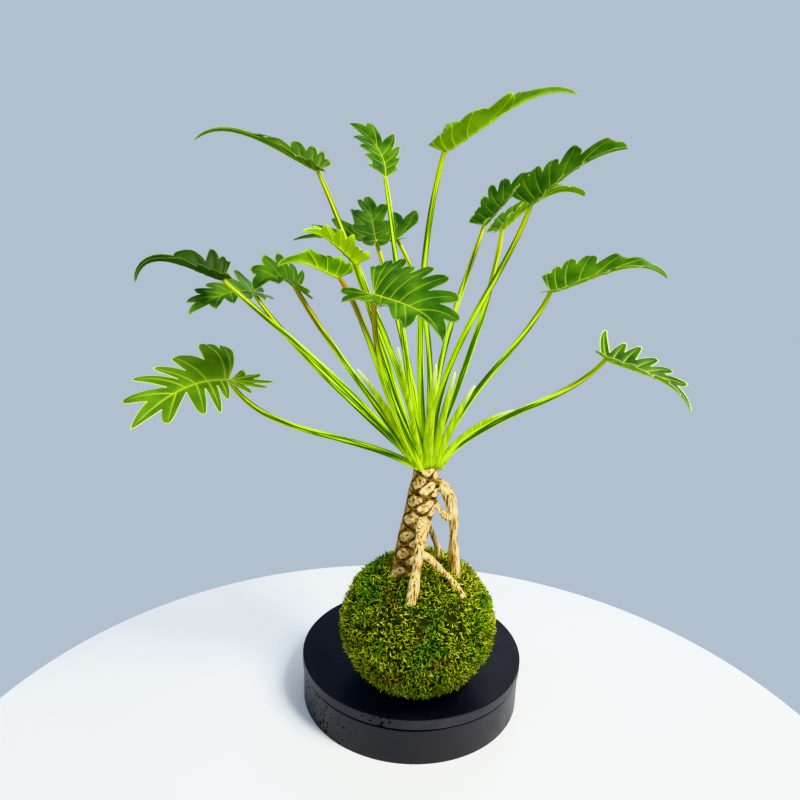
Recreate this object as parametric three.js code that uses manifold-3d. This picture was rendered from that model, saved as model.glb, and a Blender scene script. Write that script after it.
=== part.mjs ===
// Kokedama: a cut-leaved philodendron growing from a ball of moss, on a round two-part display stand.
// Millimetres, +Z up, seen from the front along +Y. The origin is the middle of the stand's underside.
import * as THREE from 'three';
import { mergeVertices } from 'three/addons/utils/BufferGeometryUtils.js';
import Module from 'manifold-3d';

const wasm = await Module();
wasm.setup();

// Driving dimensions
const CLEARANCE = 0.3;
// Points of a flat pattern that are nearer to each other than this are one
const SAME = 5e-4;
// A cut stalk or sheath is cleared of corners and slivers finer than this
const TRIM = 0.02;

const STAND = { radius: 100, height: 46, plateHeight: 10, groove: 1.6, grooveDepth: 7, overhang: 1, bevel: 0.8 };
const STAND_SIDES = 36;

const BALL = { x: 3, y: -41, radius: 66.5, halfHeight: 62, sink: 5 };
// Soft lumps of the ball: their height and how many waves run around, down and across it
const LUMPS = { height: 1.3, around: 5, down: 7, lean: 2, twist: 3, shift: 1 };
const MOSS = { thickness: 8, columns: 28, rows: 13 };
const SOIL = { columns: 20, rows: 8 };

const TRUNK = {
  path: [[-13, -50, 126], [-8.5, -50, 157], [-5, -47, 184], [0.5, -44, 213], [3.5, -42, 236], [4, -41, 250]],
  radius: 11.8,
  crownRadius: 9.6,
  flare: [0.8, 0.95],
  dome: 3,
  rows: 18,
  sides: 16,
};
const SCARS = {
  first: 171, rise: 11.5, count: 7, firstTurn: 270, turn: 137.5, height: 6.5, width: 8.5, relief: 1.1, edge: 1.6,
};

// Each prop root leaves the trunk, or another root, at its first point and ends in the ball; radius in the
// middle of its run
const PROP_ROOTS = [
  { path: [[5, -43, 236], [20, -45, 231.5], [27.5, -48, 210], [29.8, -48, 180], [33, -46, 142]], radius: 4.8 },
  { path: [[7, -44, 224], [14, -47, 217], [18.5, -49, 212], [24, -49, 206]], radius: 3 },
  { path: [[3, -48, 211], [2.4, -62, 204], [0.6, -71, 190], [-1.2, -76, 169], [-4.5, -82, 144]], radius: 4.6 },
  { path: [[1, -69, 185], [9, -68, 180], [20, -65, 167.5], [30, -63, 155.5], [39, -68, 143]], radius: 3.1 },
  { path: [[-2, -42, 207], [8, -36, 193], [14, -31, 178], [17.6, -28, 166], [15.5, -28, 150]], radius: 3 },
  { path: [[-8, -50, 172], [-14.5, -53, 165], [-19.5, -58, 154]], radius: 3.2 },
];
const PROP_ROOT = { sides: 6, rowsPerPoint: 2, thin: 0.9, swell: 0.16, swells: 9 };

const PETIOLE = { foot: 1.75, low: 2.9, taper: 1.1, swellBy: 0.16, sides: 6, rows: 8, gap: 0.5 };
const CROWN = { x: 4, y: -41, z: 249 };

// Every blade's thickness, how far along the midrib a vein starts, as a share of where its lobe ends, how far
// a lobe's end lifts, how the sides bend down, and how far the sides are drawn forward
const BLADE = { thickness: 0.8, veinStart: 0.6, ruffle: 3, droop: 0.12, sweep: 0.3 };
// A lobe: rows of its free edge, as shares, where its neck may lie on its vein, how drawn in its waist is and
// how far along its shoulder is
const LOBE = { rows: [0.45, 0.82], neck: [0.12, 0.85], waistAt: 0.4, waist: 0.08, shoulderAt: 1 };
// The drawn-out end: where its last notch lies between the last lobe and the tip, its waist and its shoulder
const END = { share: 0.35, waist: 0.1, shoulderAt: 0.88 };
// Seed that sets each lobe's lift
const LIFT_SEED = { leaf: 29, lobe: 5 };
const HASH = { turn: 12.9898, scale: 43758.5453 };

// Leaves. seat: heading in degrees and distance from the crown's middle. low, high, joint: the stalk a third,
// two thirds and all the way up. mid, late, tip: the midrib likewise. face: where the upper side looks.
// half: half width. fold: how far the left and the right half fold up, in degrees. blunt: how round the lobes
// are. full: how broad the drawn-out end stays. left, right: each side's lobes from the ear to the tip, as
// [place along the midrib, reach beside it, depth of the cut after it]
const LEAVES = [
  {
    seat: [194, 8.6], low: [-59, -52, 273], high: [-110, -61, 291], joint: [-148, -70, 326],
    mid: [-172, -89, 327], late: [-191, -109, 319], tip: [-206, -128, 306],
    face: [0, -0.25, 1], half: 42, fold: [-5, 20], blunt: 0.75, full: 0.3,
    left: [[-15, -9, 0.3], [-29, -8, 0.35], [-38, 1, 0.4], [-28, 10, 0.5], [-13, 16, 0.85], [10, 24, 0.75],
      [26, 36, 0.75], [41, 33, 0.8], [68, 20, 0.5]],
    right: [[-8, 44, 0.15], [4, 44, 0.4], [26, 32, 0.5], [41, 28, 0.68], [55, 32, 0.72], [72, 22, 0.5]],
  },
  {
    seat: [167, 8.6], low: [-58, -44, 310], high: [-107, -47, 356], joint: [-154, -50, 398],
    mid: [-177, -53, 407], late: [-201, -57, 412], tip: [-216, -60, 396],
    face: [-0.2, -0.2, 1], half: 27, fold: [44, 44], blunt: 0.4, full: 0.75,
    left: [[-2, 13, 0.2], [9, 16, 0.35], [20, 14, 0.5], [33, 9, 0.4]],
    right: [[0, 17, 0.1], [5, 20, 0.25], [16, 22, 0.5], [29, 15, 0.5]],
  },
  {
    seat: [140, 8.6], low: [-53, -24, 291], high: [-100, -8, 331], joint: [-141, 5, 376],
    mid: [-156, -17, 380], late: [-169, -38, 377], tip: [-178, -60, 373],
    face: [-0.2, -0.4, 1], half: 32, fold: [5, 35], blunt: 0.6, full: 0.5,
    left: [[-10, 14, 0.4], [8, 22, 0.5], [24, 22, 0.5], [40, 18, 0.45], [56, 12, 0.4]],
    right: [[-17, 13, 0.3], [3, 25, 0.5], [21, 18, 0.45], [37, 16, 0.4], [50, 14, 0.35], [63, 11, 0.3]],
  },
  {
    seat: [221, 8.6], low: [-39, -56, 307], high: [-70, -68, 355], joint: [-97, -80, 402],
    mid: [-105, -95, 411], late: [-113, -110, 413], tip: [-118, -125, 408],
    face: [0, -0.7, 1], half: 28, fold: [20, 38], blunt: 0.6, full: 0.7,
    left: [[-8, 14, 0.3], [6, 18, 0.45], [22, 17, 0.3], [39, 13, 0.2]],
    right: [[-15, 21, 0.4], [3, 19, 0.35], [15, 18, 0.3], [28, 15, 0.3], [41, 11, 0.2]],
  },
  {
    seat: [213, 4.6], low: [-26, -70, 314], high: [-43, -96, 370], joint: [-62, -120, 418],
    mid: [-74, -132, 426], late: [-86, -143, 432], tip: [-98, -155, 431],
    face: [0, 0.5, 1], half: 13, fold: [50, 50], blunt: 0.6, full: 0.5,
    left: [[-3, 11, 0.08], [8, 12, 0.1], [20, 11, 0.1], [33, 9, 0.1]],
    right: [[-2, 10, 0.08], [9, 11, 0.12], [22, 10, 0.1], [34, 8, 0.1]],
  },
  {
    seat: [262, 4.6], low: [-15, -67, 320], high: [-34, -89, 376], joint: [-51, -110, 425],
    mid: [-62, -123, 438], late: [-72, -137, 448], tip: [-83, -150, 452],
    face: [0.4, 0.4, 1], half: 18, fold: [48, 48], blunt: 0.6, full: 0.6,
    left: [[3, 11, 0.25], [11, 12, 0.3], [22, 12, 0.45], [34, 11, 0.45], [45, 8, 0.3]],
    right: [[0, 12, 0.25], [10, 13, 0.3], [21, 12, 0.4], [33, 10, 0.4], [46, 7, 0.3]],
  },
  {
    seat: [165, 4.6], low: [-30, -31, 331], high: [-57, -23, 406], joint: [-87, -15, 476],
    mid: [-118, -13, 491], late: [-151, -12, 502], tip: [-180, -10, 494],
    face: [-0.4, -0.15, 1], half: 18, fold: [42, 42], blunt: 0.7, full: 0.8,
    left: [[-3, 9, 0.15], [6, 13, 0.25], [18, 13, 0.35], [32, 8, 0.45]],
    right: [[-4, 11, 0.1], [3, 15, 0.2], [12, 16, 0.3], [25, 14, 0.4], [39, 8, 0.45]],
  },
  {
    seat: [120, 4.6], low: [-14, -18, 324], high: [-25, 1, 397], joint: [-37, 20, 469],
    mid: [-41, 42, 484], late: [-53, 63, 497], tip: [-70, 85, 505],
    face: [0.2, -0.8, 0.6], half: 19, fold: [20, 20], blunt: 0.15, full: 0.5,
    left: [[10, 13, 0.2], [26, 16, 0.35], [41, 16, 0.3], [58, 14, 0.4]],
    right: [[9, 9, 0.2], [18, 13, 0.3], [30, 17, 0.45], [46, 20, 0.6], [67, 11, 0.2]],
  },
  {
    seat: [105, 8.6], low: [-9, -11, 306], high: [-25, 15, 361], joint: [-44, 40, 416],
    mid: [-47, 58, 425], late: [-50, 77, 434], tip: [-54, 95, 444],
    face: [0, -0.5, 0.8], half: 23, fold: [20, 20], blunt: 0.7, full: 0.6,
    left: [[-6, 12, 0.4], [12, 20, 0.55], [39, 17, 0.45], [56, 10, 0.15]],
    right: [[-6, 12, 0.4], [14, 21, 0.5], [44, 14, 0.3]],
  },
  {
    seat: [75, 4.6], low: [6, 13, 299], high: [-1, 60, 352], joint: [-27, 105, 406],
    mid: [-59, 112, 404], late: [-92, 118, 404], tip: [-124, 125, 398],
    face: [0, -0.3, 1], half: 32, fold: [25, 25], blunt: 0.4, full: 0.4,
    left: [[-8, 18, 0.4], [12, 24, 0.5], [32, 22, 0.55], [52, 17, 0.55], [72, 10, 0.5]],
    right: [[-12, 38, 0.35], [10, 40, 0.5], [30, 38, 0.5], [52, 42, 0.55], [66, 24, 0.55], [82, 13, 0.5]],
  },
  {
    seat: [248, 0.8], low: [-5, -61, 346], high: [-5, -78, 428], joint: [4, -95, 499],
    mid: [31, -98, 518], late: [59, -102, 535], tip: [87, -105, 537],
    face: [-0.5, 0.3, 1], half: 21, fold: [62, 30], blunt: 0.7, full: 0.6,
    left: [[-2, 14, 0.08], [9, 17, 0.1], [24, 15, 0.1], [40, 8, 0.1], [58, 7, 0]],
    right: [[-3, 16, 0.05], [4, 18, 0.08], [14, 20, 0.12], [29, 19, 0.2], [53, 9, 0.8]],
  },
  {
    seat: [40, 4.6], low: [11, -7, 310], high: [26, 22, 370], joint: [46, 50, 430],
    mid: [60, 58, 445], late: [75, 67, 460], tip: [92, 75, 473],
    face: [-0.5, 0, 1], half: 24, fold: [34, 20], blunt: 0.95, full: 0.6,
    left: [[0, 16, 0.12], [10, 20, 0.2], [22, 22, 0.24], [35, 25, 0.32], [45, 18, 0.35], [59, 9, 0]],
    right: [[0, 12, 0.12], [12, 17, 0.2], [26, 17, 0.2], [42, 12, 0.2]],
  },
  {
    seat: [75, 8.6], low: [27, -26, 314], high: [45, -13, 374], joint: [56, 0, 435],
    mid: [75, 7, 451], late: [97, 13, 463], tip: [121, 20, 460],
    face: [-0.3, 0.2, 1], half: 21, fold: [34, 24], blunt: 0.9, full: 1,
    left: [[-4, 12, 0.1], [8, 18, 0.18], [22, 16, 0.2], [40, 9, 0.1], [60, 10, 0]],
    right: [[-6, 13, 0.1], [6, 18, 0.12], [20, 16, 0.15], [38, 9, 0.1], [60, 9, 0]],
  },
  {
    seat: [0, 4.6], low: [17, -50, 333], high: [44, -58, 401], joint: [68, -65, 463],
    mid: [86, -68, 481], late: [106, -72, 496], tip: [129, -75, 504],
    face: [-0.5, -0.3, 1], half: 23, fold: [42, 29], blunt: 0.95, full: 0.95,
    left: [[-2, 17, 0.1], [8, 22, 0.12], [17, 20, 0.28], [29, 17, 0.38], [45, 14, 0.42], [66, 9, 0]],
    right: [[-2, 13, 0.1], [10, 16, 0.18], [24, 15, 0.2], [44, 13, 0.15], [66, 11, 0]],
  },
  {
    seat: [10, 8.6], low: [34, -44, 305], high: [65, -47, 352], joint: [90, -50, 398],
    mid: [118, -53, 410], late: [146, -57, 420], tip: [172, -60, 413],
    face: [-0.2, -0.2, 1], half: 21, fold: [42, 30], blunt: 0.9, full: 0.7,
    left: [[0, 15, 0.1], [9, 19, 0.16], [20, 21, 0.22], [35, 19, 0.35], [52, 10, 0.1], [70, 6, 0]],
    right: [[-3, 12, 0.1], [8, 14, 0.18], [22, 13, 0.2], [42, 9, 0.2], [66, 5, 0]],
  },
  {
    seat: [340, 8.6], low: [51, -54, 291], high: [95, -65, 320], joint: [131, -75, 355],
    mid: [154, -83, 349], late: [176, -90, 341], tip: [191, -98, 324],
    face: [0.2, -0.2, 1], half: 25, fold: [34, 34], blunt: 0.6, full: 0.5,
    left: [[-11, 25, 0.72], [8, 19, 0.4], [20, 21, 0.55], [34, 16, 0.5], [46, 13, 0.45], [58, 8, 0.4]],
    right: [[-6, 14, 0.3], [8, 17, 0.4], [20, 17, 0.5], [34, 13, 0.5], [47, 10, 0.4], [59, 6, 0.4]],
  },
  {
    seat: [248, 8.6], low: [-22, -78, 311], high: [-35, -110, 364], joint: [-38, -140, 412],
    mid: [-20, -157, 411], late: [-4, -173, 407], tip: [5, -190, 396],
    face: [0.1, -0.35, 0.9], half: 32, fold: [28, -18], blunt: 0.85, full: 0.5,
    left: [[-20, 23, 0.1], [-14, 31, 0.1], [-4, 35, 0.15], [10, 31, 0.25], [22, 35, 0.3], [35, 32, 0.42],
      [49, 24, 0.38], [61, 14, 0.3]],
    right: [[-27, 6, 0.2], [-18, 14, 0.2], [-4, 9, 0.3], [11, 7, 0.35], [31, 13, 0.05], [43, 15, 0.6]],
  },
];

// Pale sheaths round the crown: foot, middle and tip, and the half width of each
const SHEATHS = [
  { path: [[-3, -48.6, 252], [-28, -57, 300], [-52, -66, 337]], half: 3.6 },
  { path: [[4, -50.4, 252], [5, -60, 302], [7, -68, 344]], half: 4.4 },
  { path: [[8, -48.6, 252], [15, -54, 297], [22, -58, 335]], half: 3.6 },
  { path: [[10.6, -46.8, 251], [23, -51, 290], [38, -53, 323]], half: 3.8 },
  { path: [[13, -45.2, 249], [38, -50, 284], [70, -54, 304]], half: 3.8 },
  { path: [[0.8, -50.4, 253], [-13, -70, 316], [-22, -86, 361]], half: 2.4 },
];
const SHEATH = { rows: 6, sides: 6, thickness: 1.6, tipThickness: 0.8, tipWidth: 0.8 };

const COLOURS = {
  stand: 0x17191c,
  soil: 0x3a2a1c,
  moss: 0x4f6a14,
  bark: 0x9a7a4c,
  stalk: 0x93b82c,
  blade: 0x2f6b1c,
  sheath: 0xdbe38a,
};

// Solids: closed meshes that can be joined and cut
function toSolid(geometry) {
  const bare = geometry.clone();
  for (const name of Object.keys(bare.attributes)) {
    if (name !== 'position') bare.deleteAttribute(name);
  }
  const merged = mergeVertices(bare, 1e-4);
  const mesh = new wasm.Mesh({
    numProp: 3,
    vertProperties: new Float32Array(merged.attributes.position.array),
    triVerts: new Uint32Array(merged.index.array),
  });
  return new wasm.Manifold(mesh);
}

function toGeometry(solid) {
  const mesh = solid.getMesh();
  const geometry = new THREE.BufferGeometry();
  geometry.setAttribute('position', new THREE.BufferAttribute(Float32Array.from(mesh.vertProperties), 3));
  geometry.setIndex(Array.from(mesh.triVerts));
  return geometry;
}

function largestBody(solid) {
  const bodies = solid.decompose();
  bodies.sort((a, b) => b.volume() - a.volume());
  return bodies[0];
}

function boxesMeet(a, b) {
  const one = a.boundingBox();
  const other = b.boundingBox();
  return [0, 1, 2].every((k) => one.min[k] < other.max[k] && other.min[k] < one.max[k]);
}

function cutBy(solid, cutters) {
  let left = solid;
  for (const cutter of cutters) {
    if (boxesMeet(left, cutter)) left = left.subtract(cutter);
  }
  return largestBody(left).simplify(TRIM);
}

const vector = (p) => new THREE.Vector3(p[0], p[1], p[2]);

// A cubic that passes its four points at 0, 1/3, 2/3 and 1
function curveThrough(a, b, c, d) {
  const [p0, p1, p2, p3] = [a, b, c, d].map(vector);
  const near = new THREE.Vector3()
    .addScaledVector(p0, -5 / 6).addScaledVector(p1, 3).addScaledVector(p2, -1.5).addScaledVector(p3, 1 / 3);
  const far = new THREE.Vector3()
    .addScaledVector(p0, 1 / 3).addScaledVector(p1, -1.5).addScaledVector(p2, 3).addScaledVector(p3, -5 / 6);
  return new THREE.CubicBezierCurve3(p0, near, far, p3);
}

// A closed tube whose ring at share t of the curve is given by ring(t, angle): [sideways, upwards]
function loft(curve, rows, sides, ring) {
  const frames = curve.computeFrenetFrames(rows, false);
  const points = [];
  const faces = [];
  for (let row = 0; row <= rows; row++) {
    const t = row / rows;
    const centre = curve.getPointAt(t);
    for (let side = 0; side < sides; side++) {
      const [across, up] = ring(t, (side / sides) * 2 * Math.PI);
      const point = centre.clone()
        .addScaledVector(frames.normals[row], across)
        .addScaledVector(frames.binormals[row], up);
      points.push(point.x, point.y, point.z);
    }
  }
  const at = (row, side) => row * sides + (side % sides);
  for (let row = 0; row < rows; row++) {
    for (let side = 0; side < sides; side++) {
      faces.push(at(row, side), at(row, side + 1), at(row + 1, side + 1));
      faces.push(at(row, side), at(row + 1, side + 1), at(row + 1, side));
    }
  }
  for (let side = 1; side < sides - 1; side++) {
    faces.push(at(0, 0), at(0, side + 1), at(0, side));
    faces.push(at(rows, 0), at(rows, side), at(rows, side + 1));
  }
  const geometry = new THREE.BufferGeometry();
  geometry.setAttribute('position', new THREE.Float32BufferAttribute(points, 3));
  geometry.setIndex(faces);
  return geometry;
}

// Display stand: a drum with a low boss, and the plate that lies on it
function standDrum() {
  const { height, plateHeight, groove, grooveDepth, overhang, bevel } = STAND;
  const radius = STAND.radius - overhang;
  const top = height - plateHeight;
  const profile = [
    [0, 0], [radius - bevel, 0], [radius, bevel], [radius, top - groove - bevel], [radius - bevel, top - groove],
    [STAND.radius - grooveDepth, top - groove], [STAND.radius - grooveDepth, top], [0, top],
  ];
  return turned(profile);
}

function standPlate() {
  const { radius, height, plateHeight, bevel } = STAND;
  const low = height - plateHeight;
  const profile = [
    [0, low], [radius - bevel, low], [radius, low + bevel], [radius, height - bevel], [radius - bevel, height],
    [0, height],
  ];
  return turned(profile);
}

function turned(profile) {
  const points = profile.map(([x, y]) => new THREE.Vector2(x, y));
  return new THREE.LatheGeometry(points, STAND_SIDES).rotateX(Math.PI / 2);
}

// Moss ball: a flattened ball with soft lumps, cut flat where it rests on the plate
function ball(inset, footHeight, { columns, rows }) {
  const middle = STAND.height - BALL.sink + BALL.halfHeight;
  const width = BALL.radius - inset;
  const height = BALL.halfHeight - inset;
  const last = Math.acos(Math.max(-1, (footHeight - middle) / height));
  const points = [];
  const faces = [];
  points.push(BALL.x, BALL.y, middle + height);
  for (let row = 1; row <= rows; row++) {
    const polar = (row / rows) * last;
    for (let column = 0; column < columns; column++) {
      const turn = (column / columns) * 2 * Math.PI;
      const fade = Math.sin((Math.PI * row) / rows);
      const around = Math.sin(LUMPS.around * turn + LUMPS.lean * polar);
      const down = Math.sin(LUMPS.down * polar - LUMPS.twist * turn + LUMPS.shift);
      const reach = width * Math.sin(polar) + LUMPS.height * fade * around * down;
      points.push(
        BALL.x + reach * Math.cos(turn),
        BALL.y + reach * Math.sin(turn),
        middle + height * Math.cos(polar),
      );
    }
  }
  const foot = points.length / 3;
  points.push(BALL.x, BALL.y, middle + height * Math.cos(last));
  const at = (row, column) => 1 + (row - 1) * columns + (column % columns);
  for (let column = 0; column < columns; column++) {
    faces.push(0, at(1, column), at(1, column + 1));
    faces.push(foot, at(rows, column + 1), at(rows, column));
    for (let row = 1; row < rows; row++) {
      faces.push(at(row, column), at(row + 1, column), at(row + 1, column + 1));
      faces.push(at(row, column), at(row + 1, column + 1), at(row, column + 1));
    }
  }
  const geometry = new THREE.BufferGeometry();
  geometry.setAttribute('position', new THREE.Float32BufferAttribute(points, 3));
  geometry.setIndex(faces);
  return geometry;
}

// Trunk: a leaning stem with the raised oval scars of shed leaves, and its prop roots, all one growth
function scarRelief(height, turn) {
  let relief = 0;
  for (let scar = 0; scar < SCARS.count; scar++) {
    const scarHeight = SCARS.first + scar * SCARS.rise;
    const scarTurn = THREE.MathUtils.degToRad(SCARS.firstTurn + scar * SCARS.turn);
    const along = (height - scarHeight) / SCARS.height;
    let off = (turn - scarTurn) % (2 * Math.PI);
    if (off > Math.PI) off -= 2 * Math.PI;
    if (off < -Math.PI) off += 2 * Math.PI;
    const across = (off * TRUNK.radius) / SCARS.width;
    relief += SCARS.relief * Math.exp(-SCARS.edge * (along * along + across * across));
  }
  return relief;
}

function stem(extra) {
  const curve = new THREE.CatmullRomCurve3(TRUNK.path.map(vector));
  const { rows, sides } = TRUNK;
  const points = [];
  const faces = [];
  for (let row = 0; row <= rows; row++) {
    const t = row / rows;
    const centre = curve.getPointAt(t);
    const flare = THREE.MathUtils.smoothstep(t, ...TRUNK.flare) * (TRUNK.crownRadius - TRUNK.radius);
    for (let side = 0; side < sides; side++) {
      const turn = (side / sides) * 2 * Math.PI;
      const reach = TRUNK.radius + flare + scarRelief(centre.z, turn) + extra;
      points.push(centre.x + reach * Math.cos(turn), centre.y + reach * Math.sin(turn), centre.z);
    }
  }
  const [low, high] = [curve.getPointAt(0), curve.getPointAt(1)];
  const bottom = points.length / 3;
  points.push(low.x, low.y, low.z - TRUNK.dome - extra);
  const top = points.length / 3;
  points.push(high.x, high.y, high.z + TRUNK.dome + extra);
  const at = (row, side) => row * sides + (side % sides);
  for (let side = 0; side < sides; side++) {
    faces.push(bottom, at(0, side + 1), at(0, side));
    faces.push(top, at(rows, side), at(rows, side + 1));
    for (let row = 0; row < rows; row++) {
      faces.push(at(row, side), at(row, side + 1), at(row + 1, side + 1));
      faces.push(at(row, side), at(row + 1, side + 1), at(row + 1, side));
    }
  }
  const geometry = new THREE.BufferGeometry();
  geometry.setAttribute('position', new THREE.Float32BufferAttribute(points, 3));
  geometry.setIndex(faces);
  return toSolid(geometry);
}

function propRoot(root, extra) {
  const curve = new THREE.CatmullRomCurve3(root.path.map(vector));
  const rows = PROP_ROOT.rowsPerPoint * (root.path.length - 1);
  const ring = (t, angle) => {
    const radius = root.radius * (PROP_ROOT.thin + PROP_ROOT.swell * Math.sin(PROP_ROOT.swells * t)) + extra;
    return [radius * Math.cos(angle), radius * Math.sin(angle)];
  };
  return toSolid(loft(curve, rows, PROP_ROOT.sides, ring));
}

function trunk(extra) {
  return PROP_ROOTS.reduce((whole, root) => whole.add(propRoot(root, extra)), stem(extra));
}

// Petiole: a round stalk, thinnest in the crown and at the blade
function petiole(leaf, extra) {
  const [heading, reach] = leaf.seat;
  const turn = THREE.MathUtils.degToRad(heading);
  const seat = [CROWN.x + reach * Math.cos(turn), CROWN.y + reach * Math.sin(turn), CROWN.z];
  const joint = vector(leaf.joint);
  const end = joint.clone().sub(joint.clone().sub(vector(leaf.high)).setLength(PETIOLE.gap)).toArray();
  const curve = curveThrough(seat, leaf.low, leaf.high, end);
  const ring = (t, angle) => {
    const swell = THREE.MathUtils.smoothstep(t, 0, PETIOLE.swellBy) * (PETIOLE.low - PETIOLE.foot);
    const radius = PETIOLE.foot + swell - PETIOLE.taper * t + extra;
    return [radius * Math.cos(angle), radius * Math.sin(angle)];
  };
  return toSolid(loft(curve, PETIOLE.rows, PETIOLE.sides, ring));
}

// Sheath: a flat pointed scale leaf that wrapped a young leaf
function sheath(part, extra) {
  const [foot, middle, tip] = part.path.map(vector);
  const control = middle.clone().multiplyScalar(2).sub(foot.clone().add(tip).multiplyScalar(0.5));
  const curve = new THREE.QuadraticBezierCurve3(foot, control, tip);
  const towards = new THREE.Vector3(0, -1, 0);
  const frames = curve.computeFrenetFrames(SHEATH.rows, false);
  for (let row = 0; row <= SHEATH.rows; row++) {
    frames.normals[row].crossVectors(towards, frames.tangents[row]).normalize();
    frames.binormals[row].crossVectors(frames.tangents[row], frames.normals[row]).normalize();
  }
  curve.computeFrenetFrames = () => frames;
  const ring = (t, angle) => {
    const width = SHEATH.tipWidth + (part.half - SHEATH.tipWidth) * Math.sqrt(1 - t) + extra;
    const thick = THREE.MathUtils.lerp(SHEATH.thickness, SHEATH.tipThickness, t) / 2 + extra;
    return [width * Math.cos(angle), thick * Math.sign(Math.sin(angle)) * Math.abs(Math.sin(angle)) ** 0.5];
  };
  return toSolid(loft(curve, SHEATH.rows, SHEATH.sides, ring));
}

// A fixed spread between -1 and 1, so that no two lobes are quite alike
function wobble(seed) {
  const wave = Math.sin(seed * HASH.turn) * HASH.scale;
  return 2 * (wave - Math.floor(wave)) - 1;
}

const mix = (a, b, t) => a.map((value, k) => value + (b[k] - value) * t);

function cubic([a, b, c, d], t) {
  return a * (1 - t) ** 3 + 3 * b * t * (1 - t) ** 2 + 3 * c * t * t * (1 - t) + d * t ** 3;
}

function mirrored(point, start, end) {
  const along = [end[0] - start[0], end[1] - start[1]];
  const off = [point[0] - start[0], point[1] - start[1]];
  const share = (along[0] * off[0] + along[1] * off[1]) / (along[0] ** 2 + along[1] ** 2);
  return [start[0] + 2 * share * along[0] - off[0], start[1] + 2 * share * along[1] - off[1]];
}

// A blade's flat pattern: u runs along the midrib and w to the side. How far forward the pattern is drawn at w:
const swept = (leaf, w) => (BLADE.sweep * w * w) / leaf.half;

// Each lobe runs from its vein's start on the midrib, between two notches, to its tip
function lobesOf(leaf, number, length) {
  const lobes = [];
  const end = [length, 0];
  for (const [side, marks] of [[1, leaf.left], [-1, leaf.right]]) {
    const count = marks.length;
    const tips = marks.map(([u, w]) => [u - swept(leaf, w), side * w]);
    const starts = marks.map(([u], lobe) => [lobe === 0 ? 0 : Math.max(0, BLADE.veinStart * u), 0]);
    starts.push([(BLADE.veinStart * length + starts[count - 1][0]) / 2, 0]);
    const notches = marks.map(([, , cut], lobe) => {
      const last = lobe === count - 1;
      const start = last ? starts[count] : mix(starts[lobe], starts[lobe + 1], 0.5);
      const edge = last ? mix(tips[lobe], end, END.share) : mix(tips[lobe], tips[lobe + 1], 0.5);
      return { start, end: mix(edge, start, cut) };
    });
    notches.unshift({ start: starts[0], end: mirrored(notches[0].end, starts[0], tips[0]) });
    tips.forEach((tip, lobe) => {
      const lift = BLADE.ruffle * wobble(LIFT_SEED.leaf * number + LIFT_SEED.lobe * lobe + side);
      const [near, far] = [notches[lobe], notches[lobe + 1]];
      lobes.push({ side, lift, form: LOBE, blunt: leaf.blunt, start: starts[lobe], tip, near, far });
    });
    lobes.push({ side, lift: 0, form: END, blunt: leaf.full, start: starts[count], tip: end, near: notches[count] });
  }
  return lobes;
}

// The rows of one lobe, each with its near edge, its vein and its far edge; the drawn-out end is a half one
function lobeRows(lobe) {
  const { start, tip, near, far, lift, blunt } = lobe;
  const { waist, shoulderAt } = lobe.form;
  const notches = far ? [near, far] : [near];
  const span = [tip[0] - start[0], tip[1] - start[1]];
  const spanSquared = span[0] ** 2 + span[1] ** 2;
  const shares = notches.map(({ end }) => (
    ((end[0] - start[0]) * span[0] + (end[1] - start[1]) * span[1]) / spanSquared
  ));
  const share = THREE.MathUtils.clamp(shares.reduce((a, b) => a + b) / shares.length, ...LOBE.neck);
  const neck = mix(start, tip, share);
  const run = [tip[0] - neck[0], tip[1] - neck[1]];
  const across = [-span[1] / Math.sqrt(spanSquared), span[0] / Math.sqrt(spanSquared)];
  const edge = (notch, t) => {
    const half = (notch.end[0] - neck[0]) * across[0] + (notch.end[1] - neck[1]) * across[1];
    return [0, 1].map((k) => {
      const drawnIn = notch.end[k] + LOBE.waistAt * run[k] - waist * half * across[k];
      const shoulder = neck[k] + shoulderAt * run[k] + blunt * half * across[k];
      return cubic([notch.end[k], drawnIn, shoulder, tip[k]], t);
    });
  };
  const rowAt = (t) => {
    const vein = mix(neck, tip, cubic([0, LOBE.waistAt, shoulderAt, 1], t));
    const row = far ? [edge(near, t), vein, edge(far, t)] : [edge(near, t), vein];
    return row.map((point) => [...point, lift * t * t]);
  };
  const first = (far ? [near.start, start, far.start] : [near.start, start]).map((point) => [...point, 0]);
  return { rows: [first, ...[0, ...LOBE.rows].map(rowAt)], end: [...tip, lift] };
}

const onMidrib = ([u, w]) => Math.abs(w) < SAME && u > -SAME;

// The faces as triangles. Where a face has an edge on the midrib, the edge is broken at every point that the
// other half of the blade has there, and the triangles meet in a corner off the midrib
function stitched(faces, flat) {
  const middle = [...flat.keys()].filter((k) => onMidrib(flat[k])).sort((a, b) => flat[a][0] - flat[b][0]);
  const order = new Map(middle.map((k, place) => [k, place]));
  const triangles = [];
  for (const face of faces) {
    const whole = face.flatMap((begin, corner) => {
      const [a, b] = [order.get(begin), order.get(face[(corner + 1) % face.length])];
      if (a === undefined || b === undefined) return [begin];
      return [begin, ...(a < b ? middle.slice(a + 1, b) : middle.slice(b + 1, a).reverse())];
    });
    const hub = whole.findIndex((corner) => !order.has(corner));
    for (let step = 1; step < whole.length - 1; step++) {
      triangles.push([0, step, step + 1].map((corner) => whole[(hub + corner) % whole.length]));
    }
  }
  return triangles;
}

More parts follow.
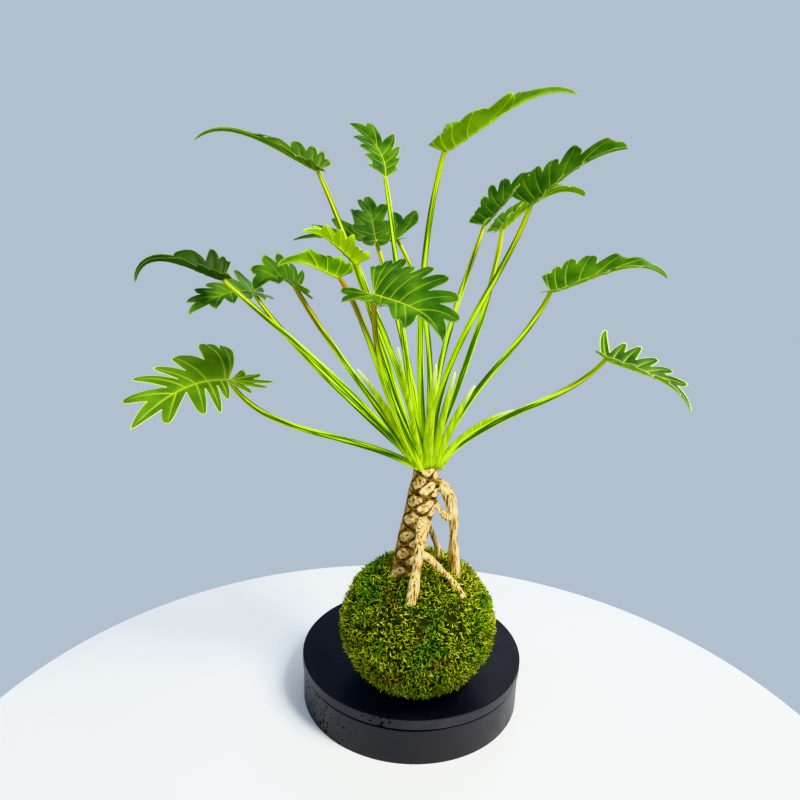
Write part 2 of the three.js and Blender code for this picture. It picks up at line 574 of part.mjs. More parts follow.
// Blade: the flat pattern laid on the bent midrib, folded up along it, with one thickness all over
function blade(leaf, number, thickness) {
  const curve = curveThrough(leaf.joint, leaf.mid, leaf.late, leaf.tip);
  const length = curve.getLength();
  const face = vector(leaf.face);
  const [left, right] = leaf.fold.map(THREE.MathUtils.degToRad);
  const place = ([flatU, w, lift]) => {
    const u = flatU + swept(leaf, w);
    const t = THREE.MathUtils.clamp(u / length, 0, 1);
    const tangent = curve.getTangent(t);
    const sideways = face.clone().cross(tangent).normalize();
    const up = tangent.clone().cross(sideways);
    const fold = w > 0 ? left : right;
    const rise = Math.abs(w) * Math.sin(fold) - (BLADE.droop * w * w) / leaf.half + lift;
    return curve.getPoint(t)
      .addScaledVector(tangent, Math.min(0, u))
      .addScaledVector(sideways, w * Math.cos(fold))
      .addScaledVector(up, rise);
  };
  const keys = new Map();
  const flat = [];
  const indexOf = (point) => {
    const key = point.slice(0, 2).map((value) => Math.round(value / (2 * SAME))).join(' ');
    if (!keys.has(key)) {
      keys.set(key, flat.length);
      flat.push(point);
    }
    return keys.get(key);
  };
  const faces = [];
  const addFace = (side, ...ring) => {
    const corners = [...new Set(ring)];
    if (corners.length > 2) faces.push(side > 0 ? corners : corners.reverse());
  };
  for (const lobe of lobesOf(leaf, number, length)) {
    const { rows, end } = lobeRows(lobe);
    const grid = rows.map((row) => row.map(indexOf));
    for (let row = 0; row < grid.length - 1; row++) {
      for (let column = 0; column < grid[row].length - 1; column++) {
        const [a, b] = [grid[row][column], grid[row][column + 1]];
        const [c, d] = [grid[row + 1][column + 1], grid[row + 1][column]];
        addFace(lobe.side, a, b, c, d);
      }
    }
    const lastRow = grid[grid.length - 1];
    for (let column = 0; column < lastRow.length - 1; column++) {
      addFace(lobe.side, lastRow[column], lastRow[column + 1], indexOf(end));
    }
  }
  return sheetOf(flat.map(place), stitched(faces, flat), thickness);
}

// A thin closed sheet round a surface, triangulated alike on both faces
function sheetOf(middle, faces, thickness) {
  const normals = middle.map(() => new THREE.Vector3());
  const edges = new Set();
  for (const [a, b, c] of faces) {
    const one = middle[b].clone().sub(middle[a]);
    const other = middle[c].clone().sub(middle[a]);
    const normal = one.cross(other);
    for (const corner of [a, b, c]) normals[corner].add(normal);
    for (const [from, to] of [[a, b], [b, c], [c, a]]) edges.add(`${from} ${to}`);
  }
  const count = middle.length;
  const points = [];
  for (const side of [1, -1]) {
    for (let corner = 0; corner < count; corner++) {
      const outwards = normals[corner].clone().normalize();
      const point = middle[corner].clone().addScaledVector(outwards, (side * thickness) / 2);
      points.push(point.x, point.y, point.z);
    }
  }
  const index = [];
  for (const [a, b, c] of faces) {
    index.push(a, b, c, a + count, c + count, b + count);
    for (const [from, to] of [[a, b], [b, c], [c, a]]) {
      if (!edges.has(`${to} ${from}`)) index.push(to, from, from + count, to, from + count, to + count);
    }
  }
  const geometry = new THREE.BufferGeometry();
  geometry.setAttribute('position', new THREE.Float32BufferAttribute(points, 3));
  geometry.setIndex(index);
  return toSolid(geometry);
}

// Assembly
const group = new THREE.Group();

function addPart(name, geometry, colour, roughness) {
  const material = new THREE.MeshStandardMaterial({ color: colour, roughness, metalness: 0 });
  const mesh = new THREE.Mesh(geometry, material);
  mesh.name = name;
  group.add(mesh);
}

const mossFoot = STAND.height + MOSS.thickness;
const rootHoles = trunk(CLEARANCE);
const soilHole = toSolid(ball(MOSS.thickness, mossFoot, SOIL));
const soil = toSolid(ball(MOSS.thickness + CLEARANCE, mossFoot, SOIL)).subtract(rootHoles);
const moss = toSolid(ball(0, STAND.height, MOSS)).subtract(soilHole).subtract(rootHoles);

addPart('stand_drum', standDrum(), COLOURS.stand, 0.5);
addPart('stand_plate', standPlate(), COLOURS.stand, 0.5);
addPart('soil_core', toGeometry(soil), COLOURS.soil, 1);
addPart('moss_cover', toGeometry(moss), COLOURS.moss, 1);
addPart('trunk_and_prop_roots', toGeometry(trunk(0)), COLOURS.bark, 0.8);

const taken = [rootHoles];
const nameOf = (kind, number) => `${kind}_${String(number + 1).padStart(2, '0')}`;
LEAVES.forEach((leaf, number) => {
  const fatBlade = blade(leaf, number, BLADE.thickness + 2 * CLEARANCE);
  const aroundBlade = [[0, 0], [-CLEARANCE, 0], [CLEARANCE, 0], [0, -CLEARANCE], [0, CLEARANCE]]
    .map(([x, y]) => fatBlade.translate([x, y, 0]));
  const stalk = cutBy(petiole(leaf, 0), [...taken, ...aroundBlade]);
  taken.push(petiole(leaf, CLEARANCE));
  addPart(nameOf('petiole', number), toGeometry(stalk), COLOURS.stalk, 0.5);
  addPart(nameOf('blade', number), toGeometry(blade(leaf, number, BLADE.thickness)), COLOURS.blade, 0.4);
});
SHEATHS.forEach((part, number) => {
  addPart(nameOf('sheath', number), toGeometry(cutBy(sheath(part, 0), taken)), COLOURS.sheath, 0.6);
  taken.push(sheath(part, CLEARANCE));
});

export default group;
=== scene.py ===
# Kokedama: a cut-leaved philodendron growing from a ball of moss, on a round black display stand.
# Metres, +Z up, seen from the front along +Y. The origin is the middle of the stand's underside.
import math

import bpy
import numpy as np
from mathutils import Matrix, Vector, noise


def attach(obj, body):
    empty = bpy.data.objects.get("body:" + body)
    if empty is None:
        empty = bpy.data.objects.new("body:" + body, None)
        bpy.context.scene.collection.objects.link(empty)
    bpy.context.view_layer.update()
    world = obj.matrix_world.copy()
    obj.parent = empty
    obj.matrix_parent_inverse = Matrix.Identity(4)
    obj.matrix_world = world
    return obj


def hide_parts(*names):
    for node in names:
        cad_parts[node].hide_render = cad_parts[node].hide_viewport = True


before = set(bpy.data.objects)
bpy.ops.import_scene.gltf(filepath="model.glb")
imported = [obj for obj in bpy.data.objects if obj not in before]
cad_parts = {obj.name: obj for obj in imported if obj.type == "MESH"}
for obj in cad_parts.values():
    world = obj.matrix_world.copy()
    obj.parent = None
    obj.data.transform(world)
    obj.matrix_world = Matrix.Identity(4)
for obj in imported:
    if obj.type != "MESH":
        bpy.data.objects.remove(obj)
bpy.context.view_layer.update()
MM = 0.001

# Camera, floor and light
# The plant is seen from a little above its crown. The floor is a plain pale disc, and the light is
# soft daylight: a broad key from the front right, weak ones from the left and behind, and a pale sky.
PHOTO_SIZE = 800
FOCAL_PIXELS = 900
CAMERA_PLACE = (-0.019, -0.708, 0.545)
CAMERA_PITCH = math.radians(19.8)
CAMERA_ROLL = math.radians(2.1)
FLOOR_RADIUS = 0.393
FLOOR_CENTRE = (-0.002, -0.165)
FLOOR_SIDES = 128
FLOOR_TONES = [(0.3, (0.86, 0.86, 0.85)), (0.7, (0.90, 0.90, 0.90))]
SKY = (0.48, 0.56, 0.66, 1)
SKY_STRENGTH = 1

camera = bpy.data.objects.new("camera", bpy.data.cameras.new("camera"))
camera.data.lens = camera.data.sensor_width * FOCAL_PIXELS / PHOTO_SIZE
camera.matrix_world = (
    Matrix.Translation(CAMERA_PLACE)
    @ Matrix.Rotation(math.pi / 2 - CAMERA_PITCH, 4, "X")
    @ Matrix.Rotation(CAMERA_ROLL, 4, "Z")
)
bpy.context.collection.objects.link(camera)
bpy.context.scene.camera = camera
bpy.context.scene.view_settings.view_transform = "Khronos PBR Neutral"


def soft_light(name, place, aim, size, watts, colour):
    """A square area light that looks at a point."""
    light = bpy.data.objects.new(name, bpy.data.lights.new(name, "AREA"))
    light.data.size = size
    light.data.energy = watts
    light.data.color = colour
    direction = Vector(aim) - Vector(place)
    light.matrix_world = Matrix.Translation(place) @ direction.to_track_quat("-Z", "Y").to_matrix().to_4x4()
    bpy.context.collection.objects.link(light)


soft_light("key_light", place=(0.8, -0.7, 1.6), aim=(0, 0, 0.3), size=0.5, watts=42, colour=(1, 0.96, 0.88))
soft_light("fill_light", place=(-1.1, -0.7, 0.8), aim=(0, 0, 0.3), size=1.2, watts=3, colour=(0.9, 0.95, 1))
soft_light("back_light", place=(0.4, 1.1, 1.1), aim=(0, 0, 0.35), size=1, watts=4, colour=(0.95, 0.97, 1))

world = bpy.data.worlds.new("sky")
world.use_nodes = True
sky = world.node_tree.nodes["Background"]
sky.inputs["Color"].default_value = SKY
sky.inputs["Strength"].default_value = SKY_STRENGTH
bpy.context.scene.world = world


def node(tree, kind, inputs=None, **settings):
    """Adds a node to a tree, with its settings, and with each input set to a value or linked to a socket."""
    made = tree.nodes.new(kind)
    for name, value in settings.items():
        setattr(made, name, value)
    for socket, value in (inputs or {}).items():
        if isinstance(value, bpy.types.NodeSocket):
            tree.links.new(value, made.inputs[socket])
        else:
            made.inputs[socket].default_value = value
    return made


def start_material(name, sockets):
    """A new material with these values on its shader's own sockets; returns it, its tree and its shader."""
    made = bpy.data.materials.new(name)
    made.use_nodes = True
    shader = made.node_tree.nodes["Principled BSDF"]
    for socket, value in sockets.items():
        shader.inputs[socket].default_value = value
    return made, made.node_tree, shader


def own_place(tree):
    """The place of each point of the piece, in metres."""
    return node(tree, "ShaderNodeTexCoord").outputs["Object"]


def noise_value(tree, scale, detail=3, vector=None, stretch=(1, 1, 1)):
    """Cloudy noise from 0 to 1 on the piece's own coordinates or others, stretched along their axes."""
    vector = own_place(tree) if vector is None else vector
    mapped = node(tree, "ShaderNodeMapping", {"Vector": vector, "Scale": stretch}).outputs["Vector"]
    inputs = {"Vector": mapped, "Scale": scale, "Detail": detail}
    return node(tree, "ShaderNodeTexNoise", inputs).outputs["Fac"]


def ramp(tree, value, stops):
    """A colour for each value, from stops of (value, colour)."""
    made = node(tree, "ShaderNodeValToRGB", {"Fac": value})
    while len(made.color_ramp.elements) < len(stops):
        made.color_ramp.elements.new(1)
    for element, (position, colour) in zip(made.color_ramp.elements, stops):
        element.position = position
        element.color = (*colour, 1)
    return made.outputs["Color"]


def spread(tree, value, low, high, start=0, end=1):
    """The value, mapped smoothly from low..high to start..end."""
    inputs = {"Value": value, "From Min": low, "From Max": high, "To Min": start, "To Max": end}
    return node(tree, "ShaderNodeMapRange", inputs, interpolation_type="SMOOTHSTEP").outputs["Result"]


def blend_colours(tree, share, first, second):
    """The first colour where share is 0 and the second where it is 1."""
    made = node(tree, "ShaderNodeMix", data_type="RGBA")
    for socket, value in zip([made.inputs[0], made.inputs[6], made.inputs[7]], [share, first, second]):
        if isinstance(value, bpy.types.NodeSocket):
            tree.links.new(value, socket)
        else:
            socket.default_value = (*value, 1) if isinstance(value, tuple) else value
    return made.outputs[2]


def colour_with(tree, shader, tone):
    """Gives the shader its colour."""
    tree.links.new(tone, shader.inputs["Base Color"])


def add_bump(tree, shader, height, depth, strength=1):
    """Small relief: height from 0 to 1 stands for this depth in metres."""
    bump = node(tree, "ShaderNodeBump", {"Height": height, "Distance": depth, "Strength": strength})
    tree.links.new(bump.outputs["Normal"], shader.inputs["Normal"])


def placed(name, mesh):
    """An object at the origin that shows this mesh."""
    made = bpy.data.objects.new(name, mesh)
    bpy.context.collection.objects.link(made)
    return made


def mesh_object(name, points, faces, materials):
    """A mesh object at the origin, shaded smooth."""
    mesh = bpy.data.meshes.new(name)
    mesh.from_pydata([tuple(point) for point in points], [], faces)
    for material in materials:
        mesh.materials.append(material)
    mesh.shade_smooth()
    return placed(name, mesh)


def even_turns(sides):
    """The angles, in radians, of this many points evenly round a circle."""
    return [2 * math.pi * side / sides for side in range(sides)]


floor_paint, floor_tree, floor_shader = start_material("floor_paint", {"Roughness": 0.55})
floor_cloud = noise_value(floor_tree, scale=7)
colour_with(floor_tree, floor_shader, ramp(floor_tree, floor_cloud, FLOOR_TONES))
floor_rim = [
    (FLOOR_CENTRE[0] + FLOOR_RADIUS * math.cos(turn), FLOOR_CENTRE[1] + FLOOR_RADIUS * math.sin(turn), 0)
    for turn in even_turns(FLOOR_SIDES)
]
floor = mesh_object("floor", floor_rim, [list(range(FLOOR_SIDES))], [floor_paint])

# Stand
# A turntable-like display stand in matt black: a low drum with a sunk neck, and the round plate that
# lies on it. Both are turned, with softly broken edges, and carry pale dust and a few dried splashes;
# the plate's side is painted lighter than its top, as painted sheen.
STAND_RADIUS = 0.100
STAND_HEIGHT = 0.046
PLATE_HEIGHT = 0.010
DRUM_SETBACK = 0.001
NECK_HEIGHT = 0.0016
NECK_DEPTH = 0.007
EDGE = 0.0008
EDGE_POINTS = 6
STAND_SIDES = 160
DUST_SCALE = 330
DUST_TONE = (0.30, 0.29, 0.26)
DROP_SCALE = 300
WET_TONE = (0.001, 0.001, 0.001)
PAINT_GRAIN = 0.15
PAINT_RELIEF = 0.0002
DRUM_PAINT = dict(side_tone_with_painted_sheen=(0.012, 0.011, 0.015), top_shade=(0.012, 0.011, 0.015), gloss=0.5,
                  splash_centre=(-0.078, -0.061, 0.014), splash_reach=0.055)
# The plate's side tone is much lighter than its top: painted sheen.
PLATE_PAINT = dict(side_tone_with_painted_sheen=(0.052, 0.050, 0.056), top_shade=(0.016, 0.016, 0.020), gloss=0.2,
                   splash_centre=(-0.03, -0.095, 0.046), splash_reach=0.02)


def ringed_mesh(name, rings, first, last, materials):
    """A closed mesh of two end points and the rings between, counter-clockwise seen from the last one."""
    rows, columns = len(rings), len(rings[0])
    points = [first] + [point for ring in rings for point in ring] + [last]
    faces = []
    for column in range(columns):
        after = (column + 1) % columns
        faces.append((0, 1 + after, 1 + column))
        for row in range(rows - 1):
            low, high = 1 + row * columns, 1 + (row + 1) * columns
            faces.append((low + column, low + after, high + after, high + column))
        top = 1 + (rows - 1) * columns
        faces.append((top + column, top + after, len(points) - 1))
    return mesh_object(name, points, faces, materials)


def broken_edge(radius, height, turn_from, turn_to):
    """Profile points of a rounded edge, with one more on each flat beside it to keep its shading flat."""
    inwards = 1 if turn_from < 0 else -1
    middle = (radius - EDGE, height + inwards * EDGE)
    turns = np.radians(np.linspace(turn_from, turn_to, EDGE_POINTS))
    arc = [(middle[0] + EDGE * math.cos(turn), middle[1] + EDGE * math.sin(turn)) for turn in turns]
    inner = (radius - 3 * EDGE, height)
    outer = (radius, height + inwards * 3 * EDGE)
    return [inner, *arc, outer] if turn_from < 0 else [outer, *arc, inner]


def turned(name, profile, low, high, material):
    """A body of revolution from its profile of (radius, height)."""
    turns = even_turns(STAND_SIDES)
    rings = [[(reach * math.cos(turn), reach * math.sin(turn), z) for turn in turns] for reach, z in profile]
    return ringed_mesh(name, rings, (0, 0, low), (0, 0, high), [material])


def finish_piece(piece, slot, *nodes):
    """Rides the piece on the part's one body and hides the imported parts that it stands for; slot is not
    used.
    """
    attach(piece, "root")
    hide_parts(*nodes)


def maths(tree, operation, *values):
    """The result of a Math node on sockets or numbers."""
    return node(tree, "ShaderNodeMath", dict(enumerate(values)), operation=operation).outputs[0]


def layered(tree, tone, *layers):
    """The tone, covered in turn by each layer of (share, colour)."""
    for share, colour in layers:
        tone = blend_colours(tree, share, tone, colour)
    return tone


def stand_finish(name, side_tone_with_painted_sheen, top_shade, gloss, splash_centre, splash_reach):
    """Matt black paint with pale dust and dark dried splashes round one place; its side can take a lighter
    tone than its top, as painted sheen.
    """
    paint, tree, shader = start_material(name, {"Specular IOR Level": gloss})
    place = own_place(tree)
    cloud = noise_value(tree, scale=60, detail=4)
    specks = node(tree, "ShaderNodeTexVoronoi", {"Vector": place, "Scale": DUST_SCALE}).outputs
    dust = spread(tree, maths(tree, "ADD", specks["Distance"], cloud), 0.6, 0.5)
    dust = maths(tree, "MULTIPLY", dust, spread(tree, specks["Color"], 0.86, 0.9))
    drops = node(tree, "ShaderNodeTexVoronoi", {"Vector": place, "Scale": DROP_SCALE}).outputs
    drop = spread(tree, maths(tree, "ADD", drops["Distance"], cloud), 0.88, 0.8)
    inputs = {0: place, 1: splash_centre}
    away = node(tree, "ShaderNodeVectorMath", inputs, operation="DISTANCE").outputs["Value"]
    near = spread(tree, away, splash_reach, 0.4 * splash_reach)
    near = maths(tree, "MULTIPLY", near, spread(tree, drops["Color"], 0.55, 0.6))
    splash = maths(tree, "MULTIPLY", drop, near)
    height = node(tree, "ShaderNodeSeparateXYZ", {0: place}).outputs["Z"]
    # The side takes its own tone, on the plate lighter than the top: painted sheen.
    painted_sheen_side = spread(tree, height, STAND_HEIGHT - EDGE, STAND_HEIGHT - EDGE / 4, 1, 0)
    dark_cloud = spread(tree, cloud, 0.75, 0.3, 0, 0.25)
    layers = [(painted_sheen_side, side_tone_with_painted_sheen), (dark_cloud, WET_TONE), (dust, DUST_TONE), (splash, WET_TONE)]
    colour_with(tree, shader, layered(tree, top_shade, *layers))
    matt = maths(tree, "MAXIMUM", spread(tree, cloud, 0.3, 0.8, 0.36, 0.5), splash)
    tree.links.new(matt, shader.inputs["Roughness"])
    grain = maths(tree, "MULTIPLY", noise_value(tree, scale=900, detail=2), PAINT_GRAIN)
    add_bump(tree, shader, maths(tree, "ADD", grain, splash), PAINT_RELIEF)
    return paint


drum_radius = STAND_RADIUS - DRUM_SETBACK
plate_low = STAND_HEIGHT - PLATE_HEIGHT
drum_top = plate_low - NECK_HEIGHT
neck_radius = STAND_RADIUS - NECK_DEPTH
drum_profile = [
    *broken_edge(drum_radius, 0, -90, 0),
    *broken_edge(drum_radius, drum_top, 0, 90),
    (neck_radius + EDGE, drum_top),
    (neck_radius, drum_top + EDGE),
    (neck_radius, plate_low),
    (neck_radius - EDGE, plate_low),
]
plate_profile = [
    *broken_edge(STAND_RADIUS, plate_low, -90, 0),
    *broken_edge(STAND_RADIUS, STAND_HEIGHT, 0, 90),
]
drum = turned("drum", drum_profile, 0, plate_low, stand_finish("drum_paint", **DRUM_PAINT))
finish_piece(drum, "stand", "stand_drum")
plate = turned("plate", plate_profile, plate_low, STAND_HEIGHT, stand_finish("plate_paint", **PLATE_PAINT))
finish_piece(plate, "stand", "stand_plate")

# Soil core
# Damp potting soil pressed into a ball round the roots. The moss hides all of it.
SOIL_TONES = [(0.3, (0.012, 0.007, 0.004)), (0.7, (0.07, 0.045, 0.025))]
SOIL_RELIEF = 0.001


def coat(piece, material):
    """Gives the whole piece one material, instead of any that it has."""
    piece.data.materials.clear()
    piece.data.materials.append(material)


soil, soil_tree, soil_shader = start_material("damp_soil", {"Roughness": 0.95})
soil_grain = noise_value(soil_tree, scale=400, detail=4)
colour_with(soil_tree, soil_shader, ramp(soil_tree, soil_grain, SOIL_TONES))
add_bump(soil_tree, soil_shader, soil_grain, SOIL_RELIEF)
coat(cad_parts["soil_core"], soil)

# Moss cover
# Sheets of living carpet moss tied round the soil: a dark matted layer, and over it thousands of
# short curly shoots with bright yellow-green tips, brown and dry in patches, with painted shade
# darkening them towards their feet and low down near the plate.
BALL_CENTRE = (0.003, -0.041)
BALL_RADIUS = 0.0665
BALL_HALF_HEIGHT = 0.062
BALL_SINK = 0.005
LUMP = 0.0013
MAT_DEPTH = 0.0034
MAT_ROUGHNESS = 0.0009
MAT_SCALE = 180
MAT_RELIEF = 0.0012
MAT_GAP = 0.0001
MAT_COLUMNS = 120
MAT_ROWS = 64
MOSS_LAYERS = 4
FIRST_SEED = 11
TINT_SEED = 17
SHOOTS_PER_SQUARE_METRE = 105000
SHOOT_LENGTH = 0.0052
SHOOT_LENGTH_SPREAD = (0.55, 1.25)
SHOOT_RADIUS = 0.00046
SHOOT_POINTS = 6
SHOOT_SIDES = 3
SHOOT_TIP_WIDTH = 0.5
SHOOT_CURL = 0.0075
SHOOT_LEAN = (0.5, 1.45)
SHOOT_GAP = 0.0006
CLUMP_SCALE = 150.0
CLUMP_DENSITY = (0.35, 1.15)
CURL_SCALE = 190.0
CURL_SPREAD = 9.0
CURL_GROWTH = 1.4
MAT_TONES = [(0.3, (0.006, 0.009, 0.001)), (0.55, (0.018, 0.024, 0.003)), (0.8, (0.050, 0.040, 0.010))]
FRESH_TONES = [
    (0.0, (0.030, 0.070, 0.002)), (0.3, (0.120, 0.190, 0.002)), (0.6, (0.350, 0.450, 0.004)),
    (0.85, (0.700, 0.780, 0.015)), (1.0, (0.900, 0.880, 0.250)),
]
DRY_TONES = [(0.0, (0.050, 0.034, 0.002)), (0.5, (0.240, 0.170, 0.006)), (1.0, (0.620, 0.480, 0.060))]
LUSH_TONES = [(0.0, (0.020, 0.080, 0.002)), (0.6, (0.120, 0.320, 0.004)), (1.0, (0.420, 0.650, 0.060))]
SHADY_TONE = (0.006, 0.012, 0.001)
LOW_SHADE_HEIGHT = 0.07

ball_middle = STAND_HEIGHT - BALL_SINK + BALL_HALF_HEIGHT


def ball_point(polar, turn, inset, fade):
    """A point of the ball's surface, sunk by inset, with its soft lumps."""
    waves = math.sin(5 * turn + 2 * polar) * math.sin(7 * polar - 3 * turn + 1)
    reach = (BALL_RADIUS - inset) * math.sin(polar) + LUMP * fade * waves
    height = ball_middle + (BALL_HALF_HEIGHT - inset) * math.cos(polar)
    return (BALL_CENTRE[0] + reach * math.cos(turn), BALL_CENTRE[1] + reach * math.sin(turn), height)


def moss_mat(material):
    """The ball itself, a rough closed body with its flat foot just clear of the plate."""
    height = BALL_HALF_HEIGHT - MAT_DEPTH
    lowest = STAND_HEIGHT + MAT_GAP
    last = math.acos((lowest - ball_middle) / height)
    rings = []
    for row in range(MAT_ROWS - 1, 0, -1):
        polar = last * row / (MAT_ROWS - 1)
        fade = math.sin(math.pi * row / MAT_ROWS)
        ring = []
        for column in range(MAT_COLUMNS):
            point = Vector(ball_point(polar, 2 * math.pi * column / MAT_COLUMNS, MAT_DEPTH, fade))
            rough = noise.fractal(point * MAT_SCALE, 1, 2, 3) * MAT_ROUGHNESS * min(1, 6 * fade)
            outwards = (point - Vector((*BALL_CENTRE, ball_middle))).normalized()
            ring.append(point + outwards * rough)
        rings.append(ring)
    top = (*BALL_CENTRE, ball_middle + height)
    return ringed_mesh("moss_mat", rings, (*BALL_CENTRE, lowest), top, [material])


def group_inputs(tree, sockets):
    """Adds the group's inputs, after its geometry; returns them by name, and their identifiers."""
    tree.interface.new_socket("Geometry", in_out="INPUT", socket_type="NodeSocketGeometry")
    identifiers = {}
    for name, kind in sockets.items():
        identifiers[name] = tree.interface.new_socket(name, in_out="INPUT", socket_type=kind).identifier
    tree.interface.new_socket("Geometry", in_out="OUTPUT", socket_type="NodeSocketGeometry")
    return node(tree, "NodeGroupInput").outputs, identifiers


def group_end(tree, geometry, material):
    """Shades the result smooth, makes its copies real, gives it its material and hands it out."""
    smooth = node(tree, "GeometryNodeSetShadeSmooth", {"Geometry": geometry})
    real = node(tree, "GeometryNodeRealizeInstances", {"Geometry": smooth.outputs[0]})
    coated = node(tree, "GeometryNodeSetMaterial", {"Geometry": real.outputs[0], "Material": material})
    node(tree, "NodeGroupOutput", {"Geometry": coated.outputs[0]})


def grown(name, source, tree, identifiers, values, material):
    """The plain mesh that a tree makes from a source object, with the given values on its inputs."""
    modifier = source.modifiers.new("grow", "NODES")
    modifier.node_group = tree
    for socket, value in values.items():
        modifier[identifiers[socket]] = value
    modifier[identifiers["Material"]] = material
    bpy.context.view_layer.update()
    graph = bpy.context.evaluated_depsgraph_get()
    mesh = bpy.data.meshes.new_from_object(source.evaluated_get(graph), depsgraph=graph)
    source.modifiers.remove(modifier)
    mesh.name = name
    return placed(name, mesh)


def random_value(tree, low, high, seed):
    """A random number between two for each shoot."""
    inputs = {2: low, 3: high, 8: seed}
    return node(tree, "FunctionNodeRandomValue", inputs, data_type="FLOAT").outputs[1]


def stored(tree, geometry, name, value, kind="FLOAT", domain="POINT"):
    """The geometry with a value kept on it under a name."""
    inputs = {"Geometry": geometry, "Name": name, "Value": value}
    return node(tree, "GeometryNodeStoreNamedAttribute", inputs, data_type=kind, domain=domain).outputs[0]


def round_section(tree, sides):
    """A circle with a radius of 1, as a tube's section."""
    return node(tree, "GeometryNodeCurvePrimitiveCircle", {"Resolution": sides, "Radius": 1.0}).outputs[0]


def closed_tube(tree, path, section, radius):
    """A tube along a path, with the radius given at each of the path's points."""
    inputs = {"Curve": path, "Profile Curve": section, "Scale": radius, "Fill Caps": True}
    return node(tree, "GeometryNodeCurveToMesh", inputs).outputs[0]


def moss_tree():
    """Shoots that stand on a surface at random, lean, curl, and grow thinner to their tips."""
    tree = bpy.data.node_groups.new("moss_shoots", "GeometryNodeTree")
    sockets = {name: "NodeSocketFloat" for name in (
        "Density", "Length", "Shortest", "Longest", "Radius", "Least Lean", "Most Lean", "Curl", "Lowest")}
    sockets |= {name: "NodeSocketInt" for name in ("Seed", "Points", "Sides")}
    given, identifiers = group_inputs(tree, sockets | {"Material": "NodeSocketMaterial"})
    place = node(tree, "GeometryNodeInputPosition").outputs[0]
    height = node(tree, "ShaderNodeSeparateXYZ", {0: place}).outputs["Z"]
    standing = node(tree, "FunctionNodeCompare", {0: height, 1: given["Lowest"]}, operation="GREATER_THAN")
    inputs = {"Vector": place, "Scale": CLUMP_SCALE, "Detail": 1.0}
    clump = node(tree, "ShaderNodeTexNoise", inputs).outputs["Fac"]
    clump = maths(tree, "MULTIPLY", spread(tree, clump, 0.35, 0.6, *CLUMP_DENSITY), given["Density"])
    scattered = node(tree, "GeometryNodeDistributePointsOnFaces", {
        "Mesh": given["Geometry"], "Selection": standing.outputs[0], "Density": clump, "Seed": given["Seed"],
    }).outputs
    shoot = node(tree, "GeometryNodeCurvePrimitiveLine", {"Start": (0, 0, 0), "End": (0, 0, 1)})
    shoot = node(tree, "GeometryNodeResampleCurve", {"Curve": shoot.outputs[0], "Count": given["Points"]})
    most = node(tree, "ShaderNodeCombineXYZ", {0: given["Most Lean"], 2: math.pi}).outputs[0]
    least = node(tree, "ShaderNodeCombineXYZ", {0: given["Least Lean"], 2: -math.pi}).outputs[0]
    inputs = {0: least, 1: most, 8: given["Seed"]}
    lean = node(tree, "FunctionNodeRandomValue", inputs, data_type="FLOAT_VECTOR").outputs[0]
    lean = node(tree, "FunctionNodeEulerToRotation", {0: lean}).outputs[0]
    inputs = {"Rotation": scattered["Rotation"], "Rotate By": lean}
    stance = node(tree, "FunctionNodeRotateRotation", inputs, rotation_space="LOCAL").outputs[0]
    reach = random_value(tree, given["Shortest"], given["Longest"], given["Seed"])
    copies = node(tree, "GeometryNodeInstanceOnPoints", {
        "Points": scattered["Points"], "Instance": shoot.outputs[0], "Rotation": stance,
        "Scale": maths(tree, "MULTIPLY", reach, given["Length"]),
    }).outputs[0]
    tint = random_value(tree, 0.0, 1.0, maths(tree, "ADD", given["Seed"], TINT_SEED))
    tinted = stored(tree, copies, "tint", tint, domain="INSTANCE")
    real = node(tree, "GeometryNodeRealizeInstances", {"Geometry": tinted})
    along = node(tree, "GeometryNodeSplineParameter").outputs["Factor"]
    own = node(tree, "GeometryNodeInputNamedAttribute", {"Name": "tint"}, data_type="FLOAT").outputs[0]
    own = maths(tree, "MULTIPLY", own, CURL_SPREAD)
    inputs = {"Vector": place, "W": own, "Scale": CURL_SCALE, "Detail": 1.0}
    curl = node(tree, "ShaderNodeTexNoise", inputs, noise_dimensions="4D").outputs["Color"]
    curl = node(tree, "ShaderNodeVectorMath", {0: curl, 1: (0.5, 0.5, 0.5)}, operation="SUBTRACT").outputs[0]
    strength = maths(tree, "MULTIPLY", maths(tree, "POWER", along, CURL_GROWTH), given["Curl"])
    curl = node(tree, "ShaderNodeVectorMath", {0: curl, 3: strength}, operation="SCALE").outputs[0]
    curled = node(tree, "GeometryNodeSetPosition", {"Geometry": real.outputs[0], "Offset": curl})
    split = node(tree, "ShaderNodeSeparateXYZ", {0: place}).outputs
    kept = maths(tree, "MAXIMUM", split["Z"], given["Lowest"])
    kept = node(tree, "ShaderNodeCombineXYZ", {0: split["X"], 1: split["Y"], 2: kept}).outputs[0]
    laid = node(tree, "GeometryNodeSetPosition", {"Geometry": curled.outputs[0], "Position": kept})
    marked = stored(tree, laid.outputs[0], "along", along)
    width = spread(tree, along, 0.6, 1.0, 1.0, SHOOT_TIP_WIDTH)
    width = maths(tree, "MULTIPLY", width, given["Radius"])
    grown_shoots = closed_tube(tree, marked, round_section(tree, given["Sides"]), width)
    group_end(tree, grown_shoots, given["Material"])
    return tree, identifiers


def attribute(tree, name):
    """The value of a mesh attribute."""
    return node(tree, "ShaderNodeAttribute", attribute_name=name).outputs["Fac"]


mat_material, mat_tree, mat_shader = start_material("moss_underlayer", {"Roughness": 0.95})
colour_with(mat_tree, mat_shader, ramp(mat_tree, noise_value(mat_tree, scale=260, detail=4), MAT_TONES))
add_bump(mat_tree, mat_shader, noise_value(mat_tree, scale=700, detail=3), MAT_RELIEF)
mat = moss_mat(mat_material)

